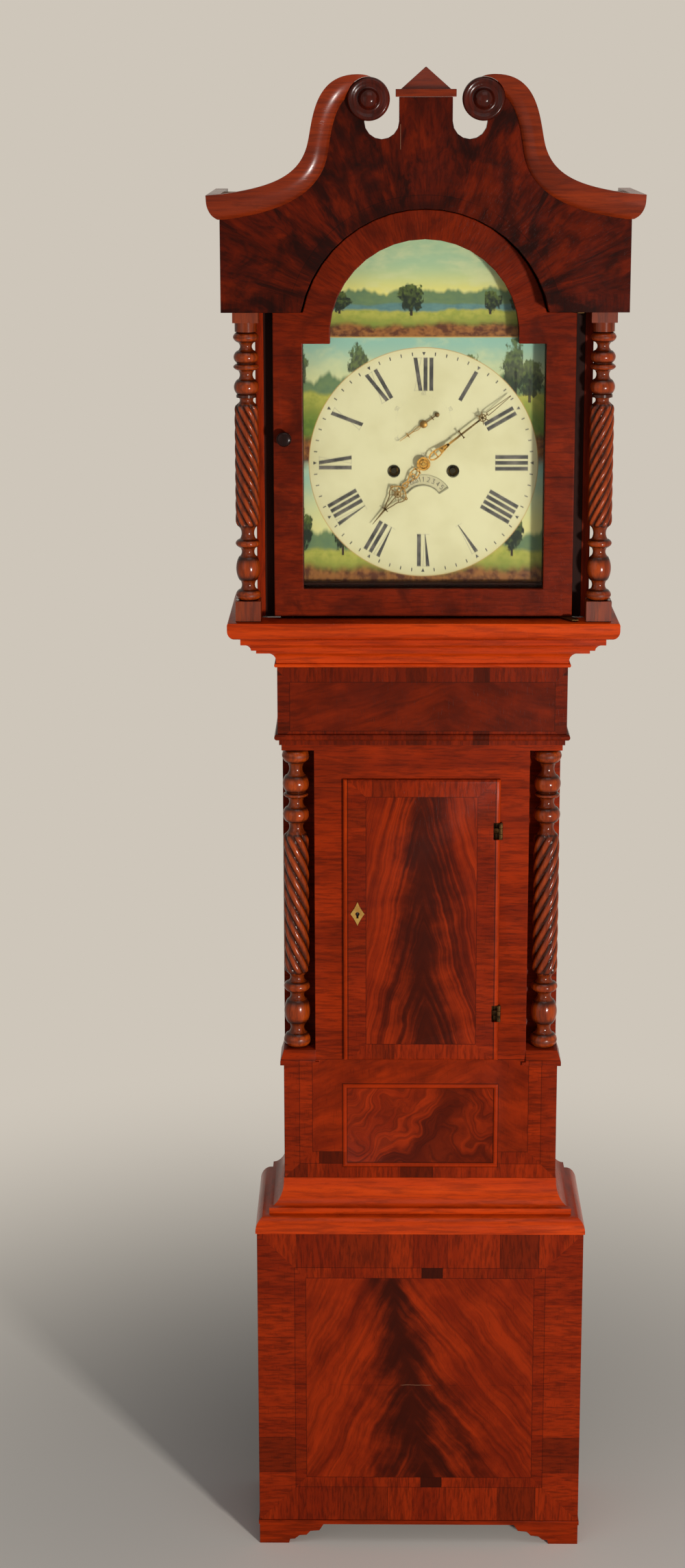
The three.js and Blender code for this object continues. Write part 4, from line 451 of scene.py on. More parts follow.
def chosen(share, first, second):
    """Two values mixed by a share."""
    return outputs("Mix", [0], {0: share, 2: first, 3: second})


def noise(vector, scale, detail=2.0, roughness=0.5, distortion=0.0, out="Fac"):
    """Fractal noise at a place."""
    return outputs("TexNoise", [out], {"Vector": vector, "Scale": scale, "Detail": detail, "Roughness": roughness,
                                       "Distortion": distortion})


def split(vector):
    """The three parts of a vector."""
    return outputs("SeparateXYZ", "XYZ", {0: vector})


def joined(*parts):
    """A vector of three values."""
    return outputs("CombineXYZ", [0], enumerate(parts))


def cells(place, scale, randomness):
    """Cells of random length along a line: the distance to a cell's middle, and three random shares of each."""
    away, colour = outputs("TexVoronoi", ["Distance", "Color"], {"W": place, "Scale": scale,
                           "Randomness": randomness}, voronoi_dimensions="1D")
    return away, *outputs("SeparateColor", range(3), {0: colour})


def bumped(height, strength, depth):
    """The normal of a surface with small heights."""
    return outputs("Bump", ["Normal"], {"Strength": strength, "Distance": depth, "Height": height})


def label(names):
    """Values by the names that a group shows."""
    return {key.replace("_", " ").capitalize(): value for key, value in names.items()}


def group(**inputs):
    """Makes a shader group of a function of these inputs, given with their defaults, that returns its outputs.

    The function's name then places the group in a material or in another group and gives the outputs in order.
    """
    def make(build):
        tree = bpy.data.node_groups.new(build.__name__.replace("_", " "), "ShaderNodeTree")

        def socket(name, side, kind):
            return tree.interface.new_socket(name=name, in_out=side, socket_type="NodeSocket" + kind)

        for name, value in label(inputs).items():
            kind = {3: "Vector", 4: "Color"}[len(value)] if isinstance(value, tuple) else "Float"
            socket(name, "INPUT", kind).default_value = value
        given = tree.nodes.new("NodeGroupInput").outputs
        made = label(build(*[Signal(given[name]) for name in label(inputs)]))
        for name, signal in made.items():
            socket(name, "OUTPUT", "Color" if signal.wide else "Float")
        fill(tree.nodes.new("NodeGroupOutput"), made)

        def use(*values, **named):
            return outputs("Group", range(len(made)), label({**dict(zip(inputs, values)), **named}), node_tree=tree)
        return use
    return make


def tone(red, green, blue):
    """A colour as the eye names it, 0 to 255, in the light values that the shaders take."""
    share = np.array([red, green, blue]) / 255
    linear = np.where(share <= 0.04045, share / 12.92, ((share + 0.055) / 1.055) ** 2.4)
    return (*linear.tolist(), 1.0)


def tones(*three):
    """The light, middle and dark colour of a wood."""
    return dict(zip(("light", "middle", "dark"), [tone(*colour) for colour in three]))


MAHOGANY = tones((148, 42, 7), (116, 30, 6), (46, 13, 5))
FRIEZE_MAHOGANY = tones((124, 34, 7), (98, 25, 6), (40, 12, 5))
BRIGHT_MAHOGANY = tones((196, 64, 8), (168, 48, 6), (98, 27, 6))
SCROLL_MAHOGANY = tones((136, 46, 13), (106, 33, 10), (60, 18, 8))
DARK_MAHOGANY = tones((164, 64, 12), (126, 43, 10), (36, 12, 6))
DEEP_MAHOGANY = tones((88, 22, 7), (60, 14, 5), (22, 7, 5))
DOOR_MAHOGANY = tones((122, 35, 9), (100, 26, 7), (56, 15, 6))
# Near black mahogany for the hood's front frame, darkened as painted shade for the shade it stands in behind the door
# and columns
PAINTED_SHADE_MAHOGANY = tones((46, 17, 9), (34, 13, 8), (18, 9, 6))
VENEER = tones((146, 42, 9), (114, 29, 7), (42, 12, 6))
KNOB_WOOD = tones((44, 14, 10), (30, 10, 8), (14, 7, 6))
DEAL = tones((168, 128, 84), (146, 106, 66), (98, 66, 40))
OPEN_CRACK = tone(150, 110, 84)

# Runs of the grain: the noise's scale along x, y and z
UPRIGHT, LEVEL, ACROSS = (34, 34, 3.2), (3.2, 3.2, 40), (3.2, 34, 34)
ORIGIN = (0.0, 0.0, 0.0)


@group(vector=ORIGIN, run=(30.0, 30.0, 3.0), seed=0.0)
def wood_grain(vector, run, seed):
    """Wood grain: broad figure, fine streaks and pores from noise stretched along the fibres."""
    place = vector * run + joined(seed, seed, seed)
    return {"figure": noise(place, 0.55, 4.0, 0.55, 0.9), "streaks": noise(place, 5.0, 5.0, 0.62, 0.4),
            "pores": between(noise(place, 21.0), 0.6, 0.74)}


@group(figure=0.5, streaks=0.5, pores=0.0, shade=0.0, **MAHOGANY)
def stain(figure, streaks, pores, shade, light, middle, dark):
    """The colour of polished wood from its figure, streaks and pores, and how it lies in height."""
    colour = layered(middle, (between(figure, 0.31, 0.69), light), (between(streaks, 0.6, 0.34, 0.5), dark),
                     (pores * 0.3, dark), (shade, dark))
    return {"colour": colour, "height": streaks * 0.3 - pores}


@group(along=0.0, length=0.05, seed=0.0)
def veneer_blocks(along, length, seed):
    """Crossbanding cut in short pieces: each stretch along the band has a tone, with a joint between."""
    place = along / length + seed
    edge = outputs("TexVoronoi", ["Distance"], {"W": place, "Scale": 1.0, "Randomness": 0.8},
                   voronoi_dimensions="1D", feature="DISTANCE_TO_EDGE")
    return {"tone": cells(place, 1.0, 0.8)[1], "joint": between(edge, 0.016, 0.002)}


@group(vector=ORIGIN, middle_x=0.0, middle_z=0.0, half_width=0.1, half_height=0.1)
def band_round_a_panel(vector, middle_x, middle_z, half_width, half_height):
    """Where a point lies in a rectangle: its depth from the edge, its run along it, and 1 on the sides."""
    x, _, z = split(vector)
    from_side, from_end = half_width - abs(x - middle_x), half_height - abs(z - middle_z)
    side = from_side < from_end
    return {"depth": maths("MINIMUM", from_side, from_end), "run": chosen(side, x, z), "side": side}


@group(vector=ORIGIN, seed=0.0, foot_x=0.0, foot_z=0.0, lean=0.0, spread=0.05, height=0.35, curl=1.6, power=1.0,
       ragged=1.0)
def flame_figure(vector, seed, foot_x, foot_z, lean, spread, height, curl, power, ragged):
    """A crotch figure: feathers on the lines z + curl |u| ^ power about a leaning middle, dark at its core."""
    bend = (noise(vector, 9.0, 3.0, out="Color") - (0.5, 0.5, 0.5)) * (0.036, 0.036, 0.036)
    x, _, level = split(vector + bend)
    z = level - foot_z
    u = x - (z * lean + foot_x)
    away = abs(u) / spread
    across = joined(away ** power * curl * spread + z, u * 0.22, seed)
    broad, fine = noise(across, 20.0, 5.0, 0.58), noise(across, 95.0, 4.0, 0.6)
    patch = noise(vector * (20, 20, 20) + joined(seed, seed, seed), 1.0, 4.0, 0.6) - 0.5
    core = away / highest(1.45 - z / height, 0.3)
    edge = (broad - 0.5) * 3.6 + patch * 1.6
    return {"plume": between(edge * ragged + core, 1.7, 0.1), "feathers": patch * 0.7 + broad, "shimmer": fine}


# Materials

def new_material(name):
    """A material with its surface shader and the Object coordinates."""
    made = bpy.data.materials.new(name)
    made.use_nodes = True
    surface = made.node_tree.nodes["Principled BSDF"]
    return made, surface, Signal(add(made.node_tree, "TexCoord").outputs["Object"])


def polished(name, look, *details, rough=0.3, coat=0.0, gloss=0.06):
    """French polish over wood: the look's colour, a gloss that varies a little, and shallow pores."""
    made, surface, place = new_material(name)
    colour, height, *dulled = look(place, *details)
    roughness = between(noise(place, 14.0, 3.0), 0.3, 0.7, rough + 0.05, rough - 0.03)
    for extra in dulled:
        roughness = extra + roughness
    fill(surface, {"Base Color": colour, "Roughness": roughness, "Normal": bumped(height, 0.5, 0.00008),
                   "Coat Weight": coat, "Coat Roughness": 0.12, "Specular IOR Level": gloss})
    return made


def wood(place, colours, run, seed):
    """Plain wood with its grain along one axis."""
    return stain(*wood_grain(place, run, seed), **colours)


def turned(place, colours, seed, axis_x, axis_y, radius):
    """Wood of a pair of turnings: painted shade in the twist's grooves and the coves, and dark and dull on the
    squares.
    """
    x, y, _ = split(place)
    away = distance(abs(x) - axis_x, y - axis_y)
    colour, height = wood(place, colours, UPRIGHT, seed)
    # Painted shade: darker where the surface lies inside the full radius, in the twist's grooves and the coves
    painted_groove_shade = between(away, radius * 0.95, radius * 0.78, 0.92)
    square = between(away, radius * 0.98, radius * 0.998)
    dark = square * 0.4 + painted_groove_shade * between(away, radius * 0.66, radius * 0.76, bottom=0.5)
    return layered(colour, (dark, colours["dark"])), height, square * 0.3


def banded(tone_share, joint, blocks_dark, joints_dark, low=0.72, high=0.98):
    """How dark a block of crossbanding is, with its joint."""
    return between(tone_share, low, high) * blocks_dark + joint * joints_dark


def panel(place, shape, bands, plume, seed, colours, centre_dark=0.9):
    """Crossbanded borders, each a width, a block length and a dark share, round a flame figure."""
    depth, run, side = band_round_a_panel(place, *shape)
    core, feathers, shimmer = flame_figure(place, seed, **plume)
    pores = wood_grain(place, UPRIGHT, seed)[2]
    colour, height = stain(feathers, shimmer * 0.6 + 0.2, pores, core * centre_dark, **colours)
    upright, level = wood_grain(place, (46, 46, 7), seed + 3), wood_grain(place, (7, 46, 46), seed + 5)
    figure, streaks = chosen(side, upright[0], level[0]), chosen(side, upright[1], level[1])
    rims, lines, reach = [], [], 0.0
    for width, length, dim in bands:
        block, joint = veneer_blocks(run, length, seed + 11 * len(rims))
        reach += width
        band = stain(block * 0.3 + figure * 0.7, streaks, pores, banded(block, joint, dim, 0.35), **colours)[0]
        rims.append((depth < reach, band))
        lines.append((between(abs(depth - reach), 0.0009, 0.0003, 0.55), colours["dark"]))
    return layered(colour, *reversed(rims), *lines), height


def base_look(place):
    """The base: two bands round a leaning flame, with a fine level shrinkage crack across its middle."""
    colour, height = panel(
        place, (0, 0.2885, BASE_HALF, 0.2475), [(0.0585, 0.06, 0.6), (0.0175, 0.034, 0.95)],
        {"foot_x": 0.012, "foot_z": 0.09, "lean": -0.155, "spread": 0.052, "height": 0.38, "curl": 1.6}, 4.0, VENEER)
    x, _, z = split(place)
    wander = noise(place, 60.0)
    line = (wander - 0.5) * 0.002 + z
    faint = joint_line(line, Z_BASE_CRACK, 0.0004) * between(wander, 0.4, 0.6, 0.35)
    crack = joint_line(line, Z_BASE_CRACK, 0.0003) * between(abs(x + 0.005), 0.027, 0.02)
    return layered(colour, (faint, VENEER["dark"]), (crack * 0.5, OPEN_CRACK)), height


def trunk_door_look(place):
    """A band round a tall flame, inside a thumb moulding of brighter wood, partly a painted highlight, on the door's
    four edges, with a dark line inside it that is partly a joint and partly painted shade.
    """
    shape = (0, 1.0335, 0.1195, 0.232)
    colour, height = panel(
        place, shape, [(0.035, 0.034, 0.5)],
        {"foot_x": 0.008, "foot_z": 0.84, "lean": -0.03, "spread": 0.036, "height": 0.6, "curl": 3.4, "power": 1.2,
         "ragged": 1.15}, 8.3, VENEER, 0.85)
    depth = band_round_a_panel(place, *shape)[0]
    # The thumb moulding's brighter wood is partly its lighter tone and partly a painted highlight of its lit edge; the
    # dark line inside it is partly a joint and partly painted shade
    edge = wood(place, BRIGHT_MAHOGANY, UPRIGHT, 3.9)[0]
    return layered(colour, (between(depth, 0.0066, 0.006, 0.5), edge),
                   (joint_line(depth, 0.0072, 0.0006) * 0.7, VENEER["dark"])), height


def trunk_front_look(place):
    """Level grain on stiles and rails with their joints; below, two bands, and a burr flame in the bead, the bead
    brightened as a painted highlight with painted shade in the quirks beside it.
    """
    x, _, z = split(place)
    dark = MAHOGANY["dark"]
    upper, height = wood(place, MAHOGANY, (5, 34, 52), 7.7)
    upper = layered(upper, (between(noise(place, 6.0, 3.0), 0.5, 0.8, 0.4), dark))
    lower, _ = panel(
        place, (0, 0.806, TRUNK_HALF, 0.194), [(0.024, 0.05, 0.8), (0.02, 0.06, 0.8)],
        {"foot_x": 0.04, "foot_z": 0.61, "lean": 0.3, "spread": 0.3, "height": 0.6, "curl": 0.4}, 6.7, MAHOGANY, 0.1)
    swirl = (noise(place, 13.0, 2.0, 0.6, out="Color") - (0.5, 0.5, 0.5)) * (0.13, 0.13, 0.13)
    core, feathers, shimmer = flame_figure(place + swirl, 14.0, foot_x=0.02, foot_z=0.63, lean=0.1, spread=0.045,
                                           height=0.2, curl=0.9, power=1.2)
    burr = stain(feathers, shimmer, 0.0, core * 0.6, **VENEER)[0]
    depth = band_round_a_panel(place, 0, 0.69975, 0.121, 0.06875)[0]
    # The bead is brightened as a painted highlight, and its quirks are darkened as painted shade
    bead = between(abs(depth - 0.0035), 0.0036, 0.003)
    painted_quirk_shade = highest(joint_line(depth, -0.0003), joint_line(depth, 0.0072))
    lines = highest(joint_line(z, Z_RAIL_JOINT), joint_line(z, Z_STILE_FOOT))
    return layered(lower, ((abs(x) < 0.1145) * ((z > 0.6375) * (z < 0.762)), burr),
                   (bead * 0.45, BRIGHT_MAHOGANY["middle"]), (painted_quirk_shade * 0.75, dark), (z > Z_STILE_FOOT, upper),
                   (lines * 0.7, dark)), height


def arched_look(place, colours, rim, foot, seed, stiles, patch_z, bold, crack=None):
    """Veneer whose grain and flames fan about the arch, with a blocked border, crossbands and a patch's joint."""
    x, y, z = split(place)
    dark, up = colours["dark"], z - Z_ARCH
    run, away = maths("ARCTAN2", x, up) * 0.2, distance(x, up)
    fan = joined(run, y, away)
    colour, height = wood(fan, colours, (52, 30, 8), seed)
    border = banded(*veneer_blocks(run, 0.036, seed), 0.6, 0.4, 0.5, 0.95)
    band = banded(*veneer_blocks(z if stiles else x, 0.12 if stiles else 0.04, seed + 9), 0.35, 0.4, 0.6)
    grain = layered(wood(place, colours, (7, 30, 48) if stiles else (48, 30, 7), seed + 4)[0], (band, dark),
                    (joint_line(z, patch_z, 0.0006) * (x > 0.13) * 0.8, dark))
    flames = noise(fan * (30, 1, 9), 1.0, 4.0, 0.6, 1.2)
    colour = layered(colour, ((away < rim) * border, dark), (joint_line(away, rim) * 0.6, dark), (z < foot, grain),
                     (between(flames, 0.5, 0.36, bold * 0.3), MAHOGANY["light"]),
                     (between(noise(place, 13.0, 4.0, 0.6, 0.6), 0.46, 0.7, 0.75), dark),
                     (between(flames, 0.5, 0.64, bold), dark))
    if crack:
        across, low, high = crack
        colour = layered(colour, (joint_line(x, across, 0.00028) * ((z > low) * (z < high)) * 0.5, OPEN_CRACK))
    return colour, height


TURNED_FINISH = {"rough": 0.17, "gloss": 0.26}
upright_mahogany = polished("upright mahogany", wood, MAHOGANY, UPRIGHT, 1.7)
level_mahogany = polished("level mahogany", wood, MAHOGANY, ACROSS, 5.2)
moulded_mahogany = polished("moulded mahogany", wood, BRIGHT_MAHOGANY, LEVEL, 9.4, rough=0.26, coat=0.02, gloss=0.12)
scroll_mahogany = polished("mahogany of the scrolls", wood, SCROLL_MAHOGANY, LEVEL, 12.4,
                           rough=0.24, coat=0.04, gloss=0.16)
# The hood's front frame gets this near black wood as painted shade
painted_shade_mahogany = polished("mahogany with painted shade", wood, PAINTED_SHADE_MAHOGANY, UPRIGHT, 2.2, rough=0.5)
deal = polished("deal of the case", wood, DEAL, UPRIGHT, 6.1, rough=0.6, gloss=0.1)
trunk_turned = polished("turned mahogany of the trunk", turned, DARK_MAHOGANY, 3.3, *TRUNK_COLUMN, **TURNED_FINISH)
hood_turned = polished("turned mahogany of the hood", turned, DARK_MAHOGANY, 4.8, *HOOD_COLUMN, **TURNED_FINISH)
rosette_wood = polished("dark wood of the rosettes", wood, DEEP_MAHOGANY, UPRIGHT, 6.6,
                        rough=0.2, coat=0.06, gloss=0.16)
knob_wood = polished("black wood of the knob", wood, KNOB_WOOD, UPRIGHT, 5.6, rough=0.18, gloss=0.14)
frieze_veneer = polished(
    "veneer of the frieze", panel, (0, 1.37, 0.2165, 0.055), [(0.0175, 0.024, 0.8)],
    {"foot_x": 0.0, "foot_z": 1.3, "lean": 0.5, "spread": 0.2, "height": 0.3, "curl": 0.3}, 2.9, FRIEZE_MAHOGANY, 0.25)
base_veneer = polished("flame veneer of the base", base_look)
door_veneer = polished("flame veneer of the trunk door", trunk_door_look)
lower_trunk_veneer = polished("veneer of the trunk front", trunk_front_look)
pediment_veneer = polished("veneer of the pediment", arched_look, DEEP_MAHOGANY, ARCH_RADIUS + 0.019,
                           Z_PEDIMENT + 0.026, 31.0, False, 1.9, 0.8, (-0.0355, 2.187, 2.2215))
door_frame_veneer = polished("veneer of the glazed door", arched_look, DOOR_MAHOGANY, 0.134, 1.944, 17.0, True,
                             1.7198, 0.25)


def metal(name, colour, dull, rough, spots=30.0, painted_highlight_near=None):
    """Metal with a patina: two tones by noise; where given, a painted highlight near the middle of the dial that goes
    to the dull tone between two distances from it.
    """
    made, surface, place = new_material(name)
    share = between(noise(place, spots, 5.0, 0.65), 0.4, 0.68)
    if painted_highlight_near:
        away = outputs("VectorMath", ["Value"], {0: place, 1: (0, -0.04, Z_DIAL)}, operation="DISTANCE")
        share = highest(share, between(away, *painted_highlight_near))
    fill(surface, {"Base Color": layered(tone(*colour), (share, tone(*dull))), "Roughness": share * 0.2 + rough,
                   "Metallic": 1.0, "Normal": bumped(noise(place * (900, 900, 60), 1.0), 0.3, 0.00003)})
    return made


brass = metal("aged brass", (206, 168, 92), (146, 108, 54), 0.26)
# The hands' brass is bright near the pivot as a painted highlight and dull farther out
hand_brass = metal("pierced brass of the hands", (226, 170, 80), (92, 74, 44), 0.26, 200.0, (0.022, 0.07))
dull_brass = metal("tarnished collars", (52, 48, 36), (24, 24, 20), 0.35)
dark_hinge = metal("hinge brass gone dark", (96, 70, 40), (40, 28, 20), 0.42, 90.0)
steel = metal("bright steel", (168, 170, 172), (120, 120, 122), 0.3)
iron = metal("black iron", (62, 61, 62), (44, 36, 32), 0.5)
lead = metal("grey lead of the weights", (84, 84, 86), (52, 50, 50), 0.5)

# Old thin window glass, so clear that most light passes straight through
pane, surface, place = new_material("pane")
fill(surface, {"Base Color": tone(240, 246, 242), "Roughness": 0.03, "Transmission Weight": 1.0, "IOR": 1.45,
               "Alpha": 0.12, "Normal": bumped(noise(place, 9.0, 1.0), 0.15, 0.001)})


def plain_paint(name, colour, rough=0.45):
    """Flat paint with a faint cloud in its tone."""
    made, surface, place = new_material(name)
    faded = tuple(0.75 * part + 0.25 * dust for part, dust in zip(colour, (0.5, 0.45, 0.35, 1)))
    fill(surface, {"Base Color": layered(colour, (between(noise(place, 60.0, 4.0), 0.35, 0.75), faded)),
                   "Roughness": rough})
    return made


numeral_black = plain_paint("black of the numerals", tone(30, 30, 26))
worn_black = plain_paint("worn black of the small numbers", tone(176, 172, 140))
calendar_cream = plain_paint("cream of the calendar", tone(196, 190, 146))
gut = plain_paint("gut", tone(170, 140, 86), 0.6)


@group(across=0.0, up=0.5, seed=0.0, horizon=0.5, meadow=0.35, ground=0.1, trees=0.5, water=0.0,
       high_sky=tone(140, 184, 166), low_sky=tone(214, 210, 140))
def painted_view(across, up, seed, horizon, meadow, ground, trees, water, high_sky, low_sky):
    """A small painted view by height: sky, far hills, water, a meadow with round trees, bare ground."""
    def dabs(scale_across, scale_up, shift, detail):
        return noise(joined(across * scale_across, up * scale_up, seed + shift), 1.0, detail, 0.6)

    def under(level, swing, line, soft):
        depth = (line - 0.5) * swing + level - up
        return between(depth, -soft, soft), depth

    brush = dabs(9.0, 16.0, 0.3, 4.0)

    def brushed(first, second, low=None, high=None):
        return layered(tone(*first), (between(brush, low, high) if low else brush, tone(*second)))

    hills, _ = under(horizon, 0.5, dabs(2.4, 0.0, 1.7, 3.0), 0.03)
    lake, _ = under(meadow + 0.09, 0.12, dabs(1.6, 0.0, 6.3, 2.0), 0.02)
    field, depth = under(meadow, 0.2, dabs(1.9, 0.0, 9.2, 3.0), 0.025)
    bare, _ = under(ground, 0.22, dabs(2.0, 0.0, 3.4, 3.0), 0.05)
    grass = layered(tone(176, 172, 76), (between(depth, 0.0, 0.3), tone(84, 112, 38)),
                    (between(brush, 0.35, 0.7, 0.6), tone(120, 140, 52)))
    from_middle, tall, wide, grown = cells(across + seed, 2.3, 1.0)
    half_tall = tall * 0.15 + 0.12
    foot = wide * -0.09 + meadow
    rise = (up - (half_tall * 1.15 + foot)) / half_tall
    aside = from_middle / (wide * 0.24 + 0.3)
    crown = (dabs(13.0, 12.0, 2.6, 4.0) - 0.5) * 2.4 + (1.0 - (aside * aside + rise * rise))
    stem = (aside < 0.09) * ((up > foot) * (rise < 0.0))
    standing = (grown > 0.3) * trees
    dapple = between(rise * 0.18 + dabs(22.0, 22.0, 5.2, 3.0), 0.4, 0.75)
    return {"colour": layered(
        low_sky, (between(up, 0.45, 1.0), high_sky),
        (between(dabs(2.2, 6.0, 4.1, 4.0), 0.42, 0.72, 0.6), tone(206, 210, 158)),
        (hills, brushed((70, 104, 84), (120, 140, 84))), (lake * water, brushed((52, 96, 106), (112, 150, 140))),
        (field, grass), (stem * standing, tone(48, 34, 18)),
        (between(crown, 0.1, 0.4) * standing, layered(tone(18, 34, 20), (dapple, tone(84, 100, 40)))),
        (bare, brushed((84, 40, 16), (150, 96, 44), 0.35, 0.65)))}


def painted_dial():
    """Cream ground inside a thin gilt ring; a view in the arch and views in the corners outside it; painted shadow
    round the calendar aperture.
    """
    made, surface, place = new_material("painted dial")
    x, _, height = split(place)
    z = height - Z_DIAL
    r = distance(x, z)

    def view(seed, foot, tall, **settings):
        return painted_view(x * 10.0, (z - foot) / tall, seed, **settings)

    arch = view(21.3, 0.1835, 0.112, horizon=0.6, meadow=0.34, ground=0.16, trees=1.0, water=1.0,
                high_sky=tone(160, 190, 150), low_sky=tone(226, 214, 112))
    upper = view(5.6, 0.02, 0.1635, horizon=0.62, meadow=0.5, ground=0.12, trees=0.9)
    lower = view(12.4, -0.174, 0.17, horizon=0.42, meadow=0.26, ground=0.1, trees=1.0)
    smear = noise(place, 30.0, 4.0)
    crazing = outputs("TexVoronoi", ["Distance"], {"Vector": place, "Scale": 240.0}, feature="DISTANCE_TO_EDGE")
    cream = layered(tone(219, 215, 171), (between(noise(place, 16.0, 5.0), 0.35, 0.7), tone(209, 204, 158)),
                    (between(crazing, 0.03, 0.0, 0.05), tone(150, 130, 90)),
                    (between(r, 0.155, 0.169, 0.25), tone(200, 186, 124)))
    # Painted shadow round the calendar aperture: dark lines along its inner and outer edges and across its two ends
    low = height - Z_CALENDAR
    from_disc, swing = distance(x, low), abs(maths("ARCTAN2", x, low))
    rim = highest(joint_line(from_disc, 0.0447, 0.0004), joint_line(from_disc, 0.0292, 0.0008))
    ends = joint_line(swing, 0.965, 0.014) * between(abs(from_disc - 0.037), 0.0085, 0.0075, 0.75)
    aperture_shadow = highest(rim * between(swing, 0.98, 0.94, 0.75), ends)
    colour = layered(
        lower, (between((smear - 0.5) * 0.05 + z, -0.012, 0.012), upper), (between(z, 0.183, 0.184), arch),
        (between(abs(z - 0.1833), 0.0012, 0.0005, 0.8), tone(196, 150, 60)), (between(r, 0.1679, 0.1675), cream),
        (between(abs(r - 0.1681), 0.0008, 0.0003, 0.8), tone(190, 150, 84)), (aperture_shadow, tone(54, 50, 34)))
    fill(surface, {"Base Color": colour, "Roughness": 0.34, "Specular IOR Level": 0.3,
                   "Normal": bumped(smear, 0.25, 0.0001)})
    return made


dial_paint = painted_dial()


# Mouldings

def base_moulding_section():
    """From the top down in the solids: fillet, ovolo, fillet, cavetto."""
    proud = BASE_HALF - TRUNK_HALF + 0.002
    return np.vstack([
        [[FIT, Z_BASE_TOP + FIT], [proud, Z_BASE_TOP + FIT]],
        bow(0.028, Z_BASE_TOP + 0.004, proud - 0.028, 0.022, 0, 90, 18),
        [[0.024, Z_BASE_TOP + 0.026], [0.024, Z_TRUNK - 0.042]],
        bow(0.024, Z_TRUNK - 0.006, 0.0228, 0.036, 270, 180, 20)[1:],
        [[0.0012, Z_TRUNK], [FIT, Z_TRUNK]]])


def waist_section():
    """A bead and two cavettos between fillets, under a flat crown."""
    proud = 0.0054
    return np.vstack([
        [[FIT, Z_WAIST + FIT]],
        bow(proud + 0.001, Z_WAIST + FIT + 0.0033, 0.0033, 0.0033, -90, 90, 12),
        bow(0.029, Z_WAIST + 0.011, 0.022, 0.0155, 180, 90, 14),
        [[0.0353, Z_WAIST + 0.0273], [0.0353, Z_WAIST + 0.0318]],
        bow(0.0575, Z_WAIST + 0.033, 0.015, 0.011, 180, 90, 12)[:-1],
        [[0.0574, Z_WAIST + 0.044], [0.0574, Z_NOSE], [FIT, Z_NOSE]]])


def nose_section():
    """The hood's lowest member: a quarter round under a quirk and a small flat."""
    inner, proud, crown = 0.0257, 0.076, 0.0574
    return np.vstack([
        [[inner, Z_NOSE + FIT], [crown, Z_NOSE + FIT]],
        bow(crown + 0.006, Z_HOOD - 0.011, proud - crown - 0.006, 0.015, -90, 0, 14),
        [[proud, Z_HOOD - 0.003], [proud - 0.001, Z_HOOD - 0.0006], [proud - 0.002, Z_HOOD], [inner, Z_HOOD]]])


def frieze_section():
    """The flat frieze over its astragal."""
    proud = 0.0054
    return np.vstack([
        [[FIT, Z_FRIEZE + FIT], [proud - 0.002, Z_FRIEZE + FIT], [proud - 0.002, Z_FRIEZE + 0.008]],
        bow(proud, Z_FRIEZE + 0.013, 0.005, 0.005, -90, 90, 14),
        [[proud, Z_WAIST], [FIT, Z_WAIST]]])


for name, section, y_end, body, finish, node in (
        ("base_moulding_run", base_moulding_section(), Y_BACK, "case", moulded_mahogany, "base_moulding"),
        ("waist_moulding_run", waist_section(), Y_BACK, "case", moulded_mahogany, "waist_moulding"),
        ("frieze_run", frieze_section(), Y_BACK, "case", frieze_veneer, "trunk_frieze"),
        ("nose_moulding_run", nose_section(), Y_HOOD_REAR, "hood", moulded_mahogany, "hood_nose_moulding")):
    piece(name, *wrapped(section, TRUNK_HALF, Y_TRUNK, y_end), body, "mahogany", finish, [node])

